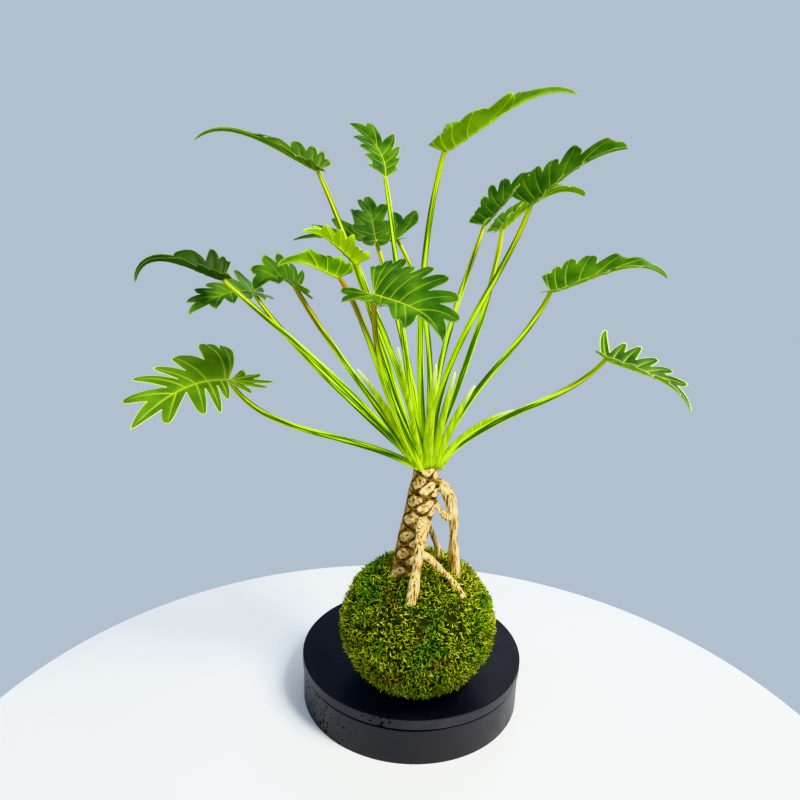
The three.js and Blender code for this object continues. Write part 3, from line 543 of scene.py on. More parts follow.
moss_green, moss_shade, moss_shader = start_material("moss_shoots", {
    "Roughness": 0.6, "Specular IOR Level": 0.25,
})
tint_value = attribute(moss_shade, "tint")
fresh, dry, lush = (ramp(moss_shade, tint_value, tones) for tones in (FRESH_TONES, DRY_TONES, LUSH_TONES))
dry_patch = spread(moss_shade, noise_value(moss_shade, scale=42, detail=3), 0.55, 0.7)
lush_patch = spread(moss_shade, noise_value(moss_shade, scale=31, detail=2, stretch=(1.3, 1, 0.8)), 0.5, 0.66)
# Painted shade: the shoots darken towards their feet, deep among the others, and low on the ball next to the
# plate.
shoot_foot_painted_shade = spread(moss_shade, attribute(moss_shade, "along"), 0.12, 0.75, 0.97, 0)
shoot_height = node(moss_shade, "ShaderNodeSeparateXYZ", {0: own_place(moss_shade)}).outputs["Z"]
low_painted_shade = spread(moss_shade, shoot_height, STAND_HEIGHT, STAND_HEIGHT + LOW_SHADE_HEIGHT, 0.6, 0)
moss_layers = [(lush_patch, lush), (dry_patch, dry), (shoot_foot_painted_shade, SHADY_TONE), (low_painted_shade, SHADY_TONE)]
colour_with(moss_shade, moss_shader, layered(moss_shade, fresh, *moss_layers))

shoots, shoot_inputs = moss_tree()
for layer in range(MOSS_LAYERS):
    tuft = grown(f"moss_shoots_{layer + 1}", mat, shoots, shoot_inputs, {
        "Density": SHOOTS_PER_SQUARE_METRE, "Seed": FIRST_SEED + layer, "Length": SHOOT_LENGTH,
        "Shortest": SHOOT_LENGTH_SPREAD[0], "Longest": SHOOT_LENGTH_SPREAD[1], "Radius": SHOOT_RADIUS,
        "Least Lean": SHOOT_LEAN[0], "Most Lean": SHOOT_LEAN[1], "Curl": SHOOT_CURL, "Points": SHOOT_POINTS,
        "Sides": SHOOT_SIDES, "Lowest": STAND_HEIGHT + SHOOT_GAP,
    }, moss_green)
    finish_piece(tuft, "moss", "moss_cover")
finish_piece(mat, "moss", "moss_cover")

# Trunk and prop roots
# A short leaning stem, netted with the diamond-shaped scars of shed leaves: corky cream pads with a
# dark dot, in brown wrinkled bark. Round tan prop roots leave it and grow down into the ball.

# The path's points are in millimetres, and so are the roots' points and radii.
TRUNK_PATH = [
    (-13, -50, 126), (-8.5, -50, 157), (-5, -47, 184), (0.5, -44, 213), (3.5, -42, 236), (4, -41, 250),
]
TRUNK_RADIUS = 0.0118
CROWN_RADIUS = 0.0096
CROWN_FROM = 0.8
CROWN_SPAN = 0.15
TRUNK_ROWS = 90
TRUNK_SIDES = 48
TRUNK_DOME = 0.003
PROP_ROOTS = [
    ([(5, -43, 236), (20, -45, 231.5), (27.5, -48, 210), (29.8, -48, 180), (33, -46, 142)], 4.8),
    ([(7, -44, 224), (14, -47, 217), (18.5, -49, 212), (24, -49, 206)], 3),
    ([(3, -48, 211), (2.4, -62, 204), (0.6, -71, 190), (-1.2, -76, 169), (-4.5, -82, 144)], 4.6),
    ([(1, -69, 185), (9, -68, 180), (20, -65, 167.5), (30, -63, 155.5), (39, -68, 143)], 3.1),
    ([(-2, -42, 207), (8, -36, 193), (14, -31, 178), (17.6, -28, 166), (15.5, -28, 150)], 3),
    ([(-8, -50, 172), (-14.5, -53, 165), (-19.5, -58, 154)], 3.2),
]
ROOT_SIDES = 20
ROOT_ROWS_PER_POINT = 14
BARK_VOXEL = 0.0007
BARK_SMOOTHING = 4

# The scars lie in a net of diamonds that winds up the trunk. Once round it, the net meets itself so many
# diamonds on along its two diagonals. The step between rows and the height of the scar that the net
# starts from are in metres, the other sizes in shares of a diamond.
SCAR_WINDING = (2, 5)
SCAR_STEP = 0.0152
SCAR_TURN = math.radians(287)
SCAR_HEIGHT = 0.234
SCAR_SWAY = 0.16
SCAR_HEAVE = 0.1
SCAR_SIZE = 0.435
SCAR_SIZE_SPREAD = 0.02
SCAR_BRIM = 0.04
SCAR_OUTLINE = 0.022
SCAR_RIDGE = 0.12
SCAR_TONE = (3.6, 0.9)
OLD_SCAR = {"below": 0.200, "fade": 0.05, "smaller": 0.07, "duller": 0.4}
SCAR_DOT = {"across": 0.1, "down": 0.06, "reach": 0.085, "brim": 0.03}
NET_FROM = 0.47
NET_BRIM = 0.02
ROOT_FROM = 1.12 * TRUNK_RADIUS
ROOT_BRIM = 0.12 * TRUNK_RADIUS
WRINKLE_SCALE = (120, 120, 420)
STREAK_SCALE = (500, 500, 60)

BROWN_TONES = [(0.40, (0.010, 0.004, 0.001)), (0.5, (0.050, 0.020, 0.003)), (0.62, (0.300, 0.150, 0.026))]
TAN_TONES = [(0.40, (0.110, 0.045, 0.007)), (0.60, (0.660, 0.400, 0.100))]
PAD_CREAM = [(0.36, (0.400, 0.210, 0.035)), (0.46, (0.800, 0.590, 0.190)), (0.58, (0.970, 0.850, 0.450))]
PAD_TAN = [(0.36, (0.200, 0.090, 0.014)), (0.62, (0.600, 0.370, 0.090))]
ROOT_TONES = [
    (0.38, (0.070, 0.026, 0.004)), (0.43, (0.330, 0.165, 0.030)), (0.49, (0.720, 0.510, 0.160)),
    (0.58, (0.960, 0.830, 0.430)),
]
NET_TONE = (0.012, 0.005, 0.001)
DOT_TONE = (0.030, 0.013, 0.005)
WEATHERED_TONE = (0.420, 0.220, 0.050)
BARK_RELIEF = 0.0005

# How far each feature lifts the skin, in metres.
LIFT = {"scar": 0.0004, "ridge": 0.0006, "net": -0.0007, "dot": -0.0007, "wrinkle": 0.0004, "streak": 0.00035}


def unit(vectors):
    """The vectors, each made one long."""
    return vectors / np.linalg.norm(vectors, axis=1, keepdims=True)


def smooth_path(points, rows):
    """Points evenly along a smooth curve through the given ones, and its directions there."""
    points = np.array(points, float)
    padded = np.vstack([2 * points[0] - points[1], points, 2 * points[-1] - points[-2]])
    fine = []
    for index in range(len(points) - 1):
        a, b, c, d = padded[index:index + 4]
        for t in np.linspace(0, 1, 24, endpoint=False):
            fine.append(0.5 * (2 * b + (c - a) * t + (2 * a - 5 * b + 4 * c - d) * t ** 2
                               + (3 * b - a - 3 * c + d) * t ** 3))
    fine = np.array([*fine, points[-1]])
    distance = np.r_[0, np.cumsum(np.linalg.norm(np.diff(fine, axis=0), axis=1))]
    wanted = np.linspace(0, distance[-1], rows)
    path = np.stack([np.interp(wanted, distance, fine[:, k]) for k in range(3)], 1)
    return path, unit(np.gradient(path, axis=0))


def tube_rings(path, directions, radii, sides):
    """Rings of points square to the directions along a path, with a radius for each ring."""
    sideways = np.cross(directions[0], (0, 1, 0.2))
    turns = np.linspace(0, 2 * math.pi, sides, endpoint=False)[:, None]
    rings = []
    for centre, direction, radius in zip(path, directions, radii):
        sideways = sideways - direction * sideways.dot(direction)
        sideways = sideways / np.linalg.norm(sideways)
        upwards = np.cross(direction, sideways)
        rings.append(centre + radius * (np.cos(turns) * sideways + np.sin(turns) * upwards))
    return rings


def clamped(value):
    """The value, kept between 0 and 1."""
    return min(1, max(0, value))


def scar_place(point, centre):
    """Where a point lies in its diamond of the net: its offsets from the middle, within a half, and which."""
    turn = (math.atan2(point[1] - centre[1], point[0] - centre[0]) - SCAR_TURN) / (2 * math.pi)
    less, more = SCAR_WINDING
    column = (less + more) * turn + SCAR_SWAY * noise.noise(Vector(point) * 110)
    level = (point[2] - SCAR_HEIGHT) / SCAR_STEP - (more - less) / 2 * turn
    level += SCAR_HEAVE * noise.noise(Vector(point) * 90 + Vector((5, 0, 0)))
    first = column / 2 + level
    second = column / 2 - level
    return first - round(first), second - round(second), more * round(first) - less * round(second)


def trunk_and_roots():
    """The stem and its roots, grown together into one skin."""
    path, _ = smooth_path(np.array(TRUNK_PATH) * MM, TRUNK_ROWS)
    upright = np.tile((0.0, 0.0, 1.0), (TRUNK_ROWS, 1))
    taper = np.clip((np.linspace(0, 1, TRUNK_ROWS) - CROWN_FROM) / CROWN_SPAN, 0, 1)
    radii = TRUNK_RADIUS + (CROWN_RADIUS - TRUNK_RADIUS) * taper * taper * (3 - 2 * taper)
    rings = tube_rings(path, upright, radii, TRUNK_SIDES)
    parts = [ringed_mesh("stem", rings, path[0] - (0, 0, TRUNK_DOME), path[-1] + (0, 0, TRUNK_DOME), [])]
    for number, (points, radius) in enumerate(PROP_ROOTS):
        rows = ROOT_ROWS_PER_POINT * (len(points) - 1)
        way, directions = smooth_path(np.array(points) * MM, rows)
        share = np.linspace(0, 1, rows)
        uneven = 0.9 + 0.16 * np.sin(9 * share) + 0.03 * np.sin(31 * share + number)
        rings = tube_rings(way, directions, radius * MM * uneven, ROOT_SIDES)
        parts.append(ringed_mesh(f"root_{number}", rings, way[0], way[-1], []))
    whole = parts[0]
    for part in parts[1:]:
        join = whole.modifiers.new("join", "BOOLEAN")
        join.operation = "UNION"
        join.object = part
    skin = whole.modifiers.new("skin", "REMESH")
    skin.mode = "VOXEL"
    skin.voxel_size = BARK_VOXEL
    soften = whole.modifiers.new("soften", "SMOOTH")
    soften.iterations = BARK_SMOOTHING
    graph = bpy.context.evaluated_depsgraph_get()
    mesh = bpy.data.meshes.new_from_object(whole.evaluated_get(graph), depsgraph=graph)
    for part in parts:
        bpy.data.objects.remove(part)
    mesh.name = "trunk_and_roots"
    return placed("trunk_and_roots", mesh)


def point_values(mesh, name, values):
    """Keeps a value for each of the mesh's points, for its material to read."""
    layer = mesh.attributes.new(name, "FLOAT", "POINT")
    layer.data.foreach_set("value", np.asarray(values, np.float32))


def carve_bark(piece):
    """Raises scars and wrinkles, and marks scar, net, dot, ridge, root and pad for the bark's colours."""
    path, _ = smooth_path(np.array(TRUNK_PATH) * MM, 200)
    mesh = piece.data
    normals = [vertex.normal.copy() for vertex in mesh.vertices]
    marks = {name: [] for name in ("scar", "net", "dot", "ridge", "root", "pad")}
    for normal, vertex in zip(normals, mesh.vertices):
        point = vertex.co.copy()
        height = min(max(point.z, path[0][2]), path[-1][2])
        centre = [float(np.interp(height, path[:, 2], path[:, k])) for k in range(2)]
        away = math.hypot(point.x - centre[0], point.y - centre[1])
        on_root = clamped((away - ROOT_FROM) / ROOT_BRIM)
        on_trunk = 1 - on_root
        first, second, cell = scar_place(point, centre)
        reach = (abs(first) ** 3 + abs(second) ** 3) ** (1 / 3)
        old = clamped((OLD_SCAR["below"] - point.z) / OLD_SCAR["fade"])
        size = SCAR_SIZE + SCAR_SIZE_SPREAD * math.sin(7.3 * cell) - OLD_SCAR["smaller"] * old
        scar = clamped((size - reach) / SCAR_BRIM) * on_trunk
        ridge = 0.5 + 0.5 * math.cos(2 * math.pi * (reach - size - 0.02) / SCAR_RIDGE)
        ridge *= (1 - scar) * on_trunk
        broken = clamped(0.9 + noise.noise(Vector(point) * 260))
        net = clamped((max(abs(first), abs(second)) - NET_FROM) / NET_BRIM) * broken * on_trunk
        outline = math.exp(-((reach - size) / SCAR_OUTLINE) ** 2) * on_trunk
        off = math.hypot(first - SCAR_DOT["across"], second + SCAR_DOT["down"])
        dot = max(clamped((SCAR_DOT["reach"] - off) / SCAR_DOT["brim"]) * on_trunk, outline)
        wrinkle = noise.fractal(point * Vector(WRINKLE_SCALE), 1, 2, 3) * (1 - scar)
        streak = noise.fractal(point * Vector(STREAK_SCALE), 1, 2, 3)
        lift = LIFT["scar"] * scar + LIFT["ridge"] * ridge + LIFT["net"] * net + LIFT["dot"] * dot
        lift += on_trunk * LIFT["wrinkle"] * wrinkle + on_root * LIFT["streak"] * streak
        vertex.co = point + normal * lift
        pad = (0.5 + 0.5 * math.cos(SCAR_TONE[0] * cell + SCAR_TONE[1])) * (1 - OLD_SCAR["duller"] * old)
        for mark, value in zip(marks.values(), (scar, net, dot, ridge, on_root, pad)):
            mark.append(value)
    for name, values in marks.items():
        point_values(mesh, name, values)
    mesh.shade_smooth()


bark, bark_tree, bark_shader = start_material("bark", {"Roughness": 0.78, "Specular IOR Level": 0.3})
bark_cloud = noise_value(bark_tree, scale=160, detail=5, stretch=(1, 1, 2.6))
bark_brown = ramp(bark_tree, bark_cloud, BROWN_TONES)
bark_tan = ramp(bark_tree, bark_cloud, TAN_TONES)
scar_cloud = noise_value(bark_tree, scale=420, detail=4)
scar_cream = ramp(bark_tree, scar_cloud, PAD_CREAM)
scar_tan = ramp(bark_tree, scar_cloud, PAD_TAN)
scar_tone = blend_colours(bark_tree, attribute(bark_tree, "pad"), scar_tan, scar_cream)
root_streak = noise_value(bark_tree, scale=700, detail=4, stretch=(1, 1, 0.09))
root_spots = noise_value(bark_tree, scale=900, detail=2, stretch=(1, 1, 0.5))
root_spots = maths(bark_tree, "MULTIPLY", root_spots, 0.15)
root_streak = maths(bark_tree, "ADD", maths(bark_tree, "MULTIPLY", root_streak, 0.85), root_spots)
root_tone = ramp(bark_tree, root_streak, ROOT_TONES)
weathered = spread(bark_tree, bark_cloud, 0.46, 0.62, 0, 0.35)
root_tone = blend_colours(bark_tree, weathered, root_tone, WEATHERED_TONE)
bark_layers = [
    (attribute(bark_tree, "ridge"), bark_tan),
    (attribute(bark_tree, "scar"), scar_tone),
    (spread(bark_tree, attribute(bark_tree, "net"), 0.05, 0.6), NET_TONE),
    (attribute(bark_tree, "dot"), DOT_TONE),
    (attribute(bark_tree, "root"), root_tone),
]
colour_with(bark_tree, bark_shader, layered(bark_tree, bark_brown, *bark_layers))
bark_grain = noise_value(bark_tree, scale=700, detail=4, stretch=(1, 1, 0.5))
add_bump(bark_tree, bark_shader, bark_grain, BARK_RELIEF)

trunk = trunk_and_roots()
coat(trunk, bark)
carve_bark(trunk)
finish_piece(trunk, "bark", "trunk_and_prop_roots")

# Leaf stalks
# Round juicy stalks that clasp the crown, grow thinner upwards and swell a little where each meets
# its blade. They are lime green, paler at the foot, and tan or brown below some of the blades, in
# lengthwise streaks painted far lighter and darker than their own colour: painted light and shade.
STALK = {
    "Foot Radius": 0.0023, "Low Radius": 0.0029, "Tip Radius": 0.0018, "Joint Radius": 0.0016, "Sides": 20,
}
STALK_POINTS = 56
STALK_RELIEF = 0.0004
# Lime tones from deep shade to highlight: the streaks paint the stalks' light and shade.
LIME_LIT_AND_SHADED_TONES = [(0.43, (0.035, 0.120, 0.001)), (0.49, (0.300, 0.540, 0.004)), (0.55, (0.700, 0.940, 0.014))]
DULL_TONES = [(0.38, (0.130, 0.060, 0.008)), (0.62, (0.480, 0.320, 0.025))]
FOOT_TONE = (0.640, 0.800, 0.040)
JOINT_TONE = (0.400, 0.320, 0.030)
CROWN = (4, -41, 249)

# Lengths are in millimetres. seat: heading in degrees and distance from the crown's middle. low, high,
# joint: the stalk a third, two thirds and all the way up. mid, late, tip: the midrib likewise. face:
# where the upper side looks. half: half width. fold: how far the left and the right half fold up, in
# degrees. left, right: each side's lobes from the ear to the tip, as (place along the midrib, reach
# beside it, depth of the cut after it). blunt: how round the lobes are. full: how broad the drawn-out
# end stays. young: below 0 darkens the blade as painted shade, up to 1 for new lime blades. veins: how
# pale and broad. tan: how brown the stalk is near the blade.
LEAVES = [
    dict(seat=(194, 8.6), low=(-59, -52, 273), high=(-110, -61, 291), joint=(-148, -70, 326),
         mid=(-172, -89, 327), late=(-191, -109, 319), tip=(-206, -128, 306), face=(0, -0.25, 1), half=42,
         fold=(-5, 20), blunt=0.75, full=0.3, young=0.18, veins=1.3, tan=0.25,
         left=[(-15, -9, 0.3), (-29, -8, 0.35), (-38, 1, 0.4), (-28, 10, 0.5), (-13, 16, 0.85),
               (10, 24, 0.75), (26, 36, 0.75), (41, 33, 0.8), (68, 20, 0.5)],
         right=[(-8, 44, 0.15), (4, 44, 0.4), (26, 32, 0.5), (41, 28, 0.68), (55, 32, 0.72), (72, 22, 0.5)]),
    dict(seat=(167, 8.6), low=(-58, -44, 310), high=(-107, -47, 356), joint=(-154, -50, 398),
         mid=(-177, -53, 407), late=(-201, -57, 412), tip=(-216, -60, 396), face=(-0.2, -0.2, 1), half=27,
         fold=(44, 44), blunt=0.4, full=0.75, young=-0.8, veins=0.3, tan=0.2,
         left=[(-2, 13, 0.2), (9, 16, 0.35), (20, 14, 0.5), (33, 9, 0.4)],
         right=[(0, 17, 0.1), (5, 20, 0.25), (16, 22, 0.5), (29, 15, 0.5)]),
    dict(seat=(140, 8.6), low=(-53, -24, 291), high=(-100, -8, 331), joint=(-141, 5, 376),
         mid=(-156, -17, 380), late=(-169, -38, 377), tip=(-178, -60, 373), face=(-0.2, -0.4, 1), half=32,
         fold=(5, 35), blunt=0.6, full=0.5, young=-0.25, veins=0.4, tan=0.4,
         left=[(-10, 14, 0.4), (8, 22, 0.5), (24, 22, 0.5), (40, 18, 0.45), (56, 12, 0.4)],
         right=[(-17, 13, 0.3), (3, 25, 0.5), (21, 18, 0.45), (37, 16, 0.4), (50, 14, 0.35), (63, 11, 0.3)]),
    dict(seat=(221, 8.6), low=(-39, -56, 307), high=(-70, -68, 355), joint=(-97, -80, 402),
         mid=(-105, -95, 411), late=(-113, -110, 413), tip=(-118, -125, 408), face=(0, -0.7, 1), half=28,
         fold=(20, 38), blunt=0.6, full=0.7, young=-0.35, veins=0.4, tan=0.9,
         left=[(-8, 14, 0.3), (6, 18, 0.45), (22, 17, 0.3), (39, 13, 0.2)],
         right=[(-15, 21, 0.4), (3, 19, 0.35), (15, 18, 0.3), (28, 15, 0.3), (41, 11, 0.2)]),
    dict(seat=(213, 4.6), low=(-26, -70, 314), high=(-43, -96, 370), joint=(-62, -120, 418),
         mid=(-74, -132, 426), late=(-86, -143, 432), tip=(-98, -155, 431), face=(0, 0.5, 1), half=13,
         fold=(50, 50), blunt=0.6, full=0.5, young=0, veins=0.4, tan=1,
         left=[(-3, 11, 0.08), (8, 12, 0.1), (20, 11, 0.1), (33, 9, 0.1)],
         right=[(-2, 10, 0.08), (9, 11, 0.12), (22, 10, 0.1), (34, 8, 0.1)]),
    dict(seat=(262, 4.6), low=(-15, -67, 320), high=(-34, -89, 376), joint=(-51, -110, 425),
         mid=(-62, -123, 438), late=(-72, -137, 448), tip=(-83, -150, 452), face=(0.4, 0.4, 1), half=18,
         fold=(48, 48), blunt=0.6, full=0.6, young=1, veins=0.5, tan=0,
         left=[(3, 11, 0.25), (11, 12, 0.3), (22, 12, 0.45), (34, 11, 0.45), (45, 8, 0.3)],
         right=[(0, 12, 0.25), (10, 13, 0.3), (21, 12, 0.4), (33, 10, 0.4), (46, 7, 0.3)]),
    dict(seat=(165, 4.6), low=(-30, -31, 331), high=(-57, -23, 406), joint=(-87, -15, 476),
         mid=(-118, -13, 491), late=(-151, -12, 502), tip=(-180, -10, 494), face=(-0.4, -0.15, 1), half=18,
         fold=(42, 42), blunt=0.7, full=0.8, young=-0.4, veins=0.5, tan=0.4,
         left=[(-3, 9, 0.15), (6, 13, 0.25), (18, 13, 0.35), (32, 8, 0.45)],
         right=[(-4, 11, 0.1), (3, 15, 0.2), (12, 16, 0.3), (25, 14, 0.4), (39, 8, 0.45)]),
    dict(seat=(120, 4.6), low=(-14, -18, 324), high=(-25, 1, 397), joint=(-37, 20, 469),
         mid=(-41, 42, 484), late=(-53, 63, 497), tip=(-70, 85, 505), face=(0.2, -0.8, 0.6), half=19,
         fold=(20, 20), blunt=0.15, full=0.5, young=-0.05, veins=0.6, tan=0,
         left=[(10, 13, 0.2), (26, 16, 0.35), (41, 16, 0.3), (58, 14, 0.4)],
         right=[(9, 9, 0.2), (18, 13, 0.3), (30, 17, 0.45), (46, 20, 0.6), (67, 11, 0.2)]),
    dict(seat=(105, 8.6), low=(-9, -11, 306), high=(-25, 15, 361), joint=(-44, 40, 416),
         mid=(-47, 58, 425), late=(-50, 77, 434), tip=(-54, 95, 444), face=(0, -0.5, 0.8), half=23,
         fold=(20, 20), blunt=0.7, full=0.6, young=-0.3, veins=0.35, tan=0.5,
         left=[(-6, 12, 0.4), (12, 20, 0.55), (39, 17, 0.45), (56, 10, 0.15)],
         right=[(-6, 12, 0.4), (14, 21, 0.5), (44, 14, 0.3)]),
    dict(seat=(75, 4.6), low=(6, 13, 299), high=(-1, 60, 352), joint=(-27, 105, 406),
         mid=(-59, 112, 404), late=(-92, 118, 404), tip=(-124, 125, 398), face=(0, -0.3, 1), half=32,
         fold=(25, 25), blunt=0.4, full=0.4, young=-0.3, veins=0.3, tan=0.4,
         left=[(-8, 18, 0.4), (12, 24, 0.5), (32, 22, 0.55), (52, 17, 0.55), (72, 10, 0.5)],
         right=[(-12, 38, 0.35), (10, 40, 0.5), (30, 38, 0.5), (52, 42, 0.55), (66, 24, 0.55),
                (82, 13, 0.5)]),
    dict(seat=(248, 0.8), low=(-5, -61, 346), high=(-5, -78, 428), joint=(4, -95, 499),
         mid=(31, -98, 518), late=(59, -102, 535), tip=(87, -105, 537), face=(-0.5, 0.3, 1), half=21,
         fold=(62, 30), blunt=0.7, full=0.6, young=0.12, veins=0.35, tan=0.15,
         left=[(-2, 14, 0.08), (9, 17, 0.1), (24, 15, 0.1), (40, 8, 0.1), (58, 7, 0)],
         right=[(-3, 16, 0.05), (4, 18, 0.08), (14, 20, 0.12), (29, 19, 0.2), (53, 9, 0.8)]),
    dict(seat=(40, 4.6), low=(11, -7, 310), high=(26, 22, 370), joint=(46, 50, 430),
         mid=(60, 58, 445), late=(75, 67, 460), tip=(92, 75, 473), face=(-0.5, 0, 1), half=24,
         fold=(34, 20), blunt=0.95, full=0.6, young=-0.45, veins=0.35, tan=0.5,
         left=[(0, 16, 0.12), (10, 20, 0.2), (22, 22, 0.24), (35, 25, 0.32), (45, 18, 0.35), (59, 9, 0)],
         right=[(0, 12, 0.12), (12, 17, 0.2), (26, 17, 0.2), (42, 12, 0.2)]),
    dict(seat=(75, 8.6), low=(27, -26, 314), high=(45, -13, 374), joint=(56, 0, 435),
         mid=(75, 7, 451), late=(97, 13, 463), tip=(121, 20, 460), face=(-0.3, 0.2, 1), half=21,
         fold=(34, 24), blunt=0.9, full=1, young=0.1, veins=0.4, tan=0.5,
         left=[(-4, 12, 0.1), (8, 18, 0.18), (22, 16, 0.2), (40, 9, 0.1), (60, 10, 0)],
         right=[(-6, 13, 0.1), (6, 18, 0.12), (20, 16, 0.15), (38, 9, 0.1), (60, 9, 0)]),
    dict(seat=(0, 4.6), low=(17, -50, 333), high=(44, -58, 401), joint=(68, -65, 463),
         mid=(86, -68, 481), late=(106, -72, 496), tip=(129, -75, 504), face=(-0.5, -0.3, 1), half=23,
         fold=(42, 29), blunt=0.95, full=0.95, young=-0.25, veins=0.35, tan=0.4,
         left=[(-2, 17, 0.1), (8, 22, 0.12), (17, 20, 0.28), (29, 17, 0.38), (45, 14, 0.42), (66, 9, 0)],
         right=[(-2, 13, 0.1), (10, 16, 0.18), (24, 15, 0.2), (44, 13, 0.15), (66, 11, 0)]),
    dict(seat=(10, 8.6), low=(34, -44, 305), high=(65, -47, 352), joint=(90, -50, 398),
         mid=(118, -53, 410), late=(146, -57, 420), tip=(172, -60, 413), face=(-0.2, -0.2, 1), half=21,
         fold=(42, 30), blunt=0.9, full=0.7, young=0.03, veins=0.5, tan=0.3,
         left=[(0, 15, 0.1), (9, 19, 0.16), (20, 21, 0.22), (35, 19, 0.35), (52, 10, 0.1), (70, 6, 0)],
         right=[(-3, 12, 0.1), (8, 14, 0.18), (22, 13, 0.2), (42, 9, 0.2), (66, 5, 0)]),
    dict(seat=(340, 8.6), low=(51, -54, 291), high=(95, -65, 320), joint=(131, -75, 355),
         mid=(154, -83, 349), late=(176, -90, 341), tip=(191, -98, 324), face=(0.2, -0.2, 1), half=25,
         fold=(34, 34), blunt=0.6, full=0.5, young=-0.2, veins=1.1, tan=0.35,
         left=[(-11, 25, 0.72), (8, 19, 0.4), (20, 21, 0.55), (34, 16, 0.5), (46, 13, 0.45), (58, 8, 0.4)],
         right=[(-6, 14, 0.3), (8, 17, 0.4), (20, 17, 0.5), (34, 13, 0.5), (47, 10, 0.4), (59, 6, 0.4)]),
    dict(seat=(248, 8.6), low=(-22, -78, 311), high=(-35, -110, 364), joint=(-38, -140, 412),
         mid=(-20, -157, 411), late=(-4, -173, 407), tip=(5, -190, 396), face=(0.1, -0.35, 0.9), half=32,
         fold=(28, -18), blunt=0.85, full=0.5, young=0, veins=0.45, tan=1,
         left=[(-20, 23, 0.1), (-14, 31, 0.1), (-4, 35, 0.15), (10, 31, 0.25), (22, 35, 0.3), (35, 32, 0.42),
               (49, 24, 0.38), (61, 14, 0.3)],
         right=[(-27, 6, 0.2), (-18, 14, 0.2), (-4, 9, 0.3), (11, 7, 0.35), (31, 13, 0.05), (43, 15, 0.6)]),
]


def curve_through(points):
    """The control points, in metres, of the cubic that passes four points at 0, 1/3, 2/3 and 1."""
    a, b, c, d = np.array(points, float) * MM
    return np.array([a, (-5 * a + 18 * b - 9 * c + 2 * d) / 6, (2 * a - 9 * b + 18 * c - 5 * d) / 6, d])


def cubic(controls, t):
    """Points of a cubic with these control points."""
    t = np.reshape(t, (-1, 1))
    a, b, c, d = controls
    return a * (1 - t) ** 3 + 3 * b * t * (1 - t) ** 2 + 3 * c * t * t * (1 - t) + d * t ** 3


def stalk_tree():
    """A round stalk along a line of points, thinner upwards, with a swollen joint."""
    tree = bpy.data.node_groups.new("stalk", "GeometryNodeTree")
    given, identifiers = group_inputs(tree, {
        "Foot Radius": "NodeSocketFloat", "Low Radius": "NodeSocketFloat", "Tip Radius": "NodeSocketFloat",
        "Joint Radius": "NodeSocketFloat", "Sides": "NodeSocketInt", "Material": "NodeSocketMaterial",
    })
    line = node(tree, "GeometryNodeMeshToCurve", {"Mesh": given["Geometry"]}).outputs[0]
    along = node(tree, "GeometryNodeSplineParameter").outputs["Factor"]
    foot = maths(tree, "SUBTRACT", given["Foot Radius"], given["Low Radius"])
    foot = maths(tree, "MULTIPLY", foot, spread(tree, along, 0.0, 0.1, 1.0, 0.0))
    thinner = maths(tree, "SUBTRACT", given["Tip Radius"], given["Low Radius"])
    thinner = maths(tree, "MULTIPLY", thinner, along)
    joint = maths(tree, "SUBTRACT", given["Joint Radius"], given["Tip Radius"])
    joint = maths(tree, "MULTIPLY", joint, spread(tree, along, 0.95, 0.985))
    radius = maths(tree, "ADD", given["Low Radius"], foot)
    radius = maths(tree, "ADD", radius, maths(tree, "ADD", thinner, joint))
    marked = stored(tree, line, "along", along)
    place = node(tree, "GeometryNodeInputPosition").outputs[0]
    section = stored(tree, round_section(tree, given["Sides"]), "around", place, kind="FLOAT_VECTOR")
    group_end(tree, closed_tube(tree, marked, section, radius), given["Material"])
    return tree, identifiers


def one_value(mesh, name, value):
    """Keeps one value for the whole mesh, for its material to read."""
    point_values(mesh, name, np.full(len(mesh.vertices), value))


stalk_skin, stalk_shade, stalk_shader = start_material("stalk_skin", {
    "Roughness": 0.5, "Specular IOR Level": 0.12,
})
stalk_along = attribute(stalk_shade, "along")
around = node(stalk_shade, "ShaderNodeAttribute", attribute_name="around").outputs["Vector"]
around = node(stalk_shade, "ShaderNodeSeparateXYZ", {0: around}).outputs
inputs = {0: around[0], 1: around[1], 2: stalk_along}
stalk_place = node(stalk_shade, "ShaderNodeCombineXYZ", inputs).outputs[0]
# Lengthwise streaks, partly the stalk's own and partly painted light and shade.
stalk_streak_and_painted_shade = noise_value(stalk_shade, scale=1.3, detail=2, vector=stalk_place, stretch=(1, 1, 2.5))
tan_share = spread(stalk_shade, stalk_along, 0.55, 1.0)
stalk_layers = [
    (spread(stalk_shade, stalk_along, 0.0, 0.14, 0.55, 0), FOOT_TONE),
    (maths(stalk_shade, "MULTIPLY", tan_share, attribute(stalk_shade, "tan")),
     ramp(stalk_shade, stalk_streak_and_painted_shade, DULL_TONES)),
    (spread(stalk_shade, stalk_along, 0.96, 1.0, 0, 0.5), JOINT_TONE),
]
stalk_lime_lit_and_shaded = ramp(stalk_shade, stalk_streak_and_painted_shade, LIME_LIT_AND_SHADED_TONES)
colour_with(stalk_shade, stalk_shader, layered(stalk_shade, stalk_lime_lit_and_shaded, *stalk_layers))
add_bump(stalk_shade, stalk_shader, stalk_streak_and_painted_shade, STALK_RELIEF)

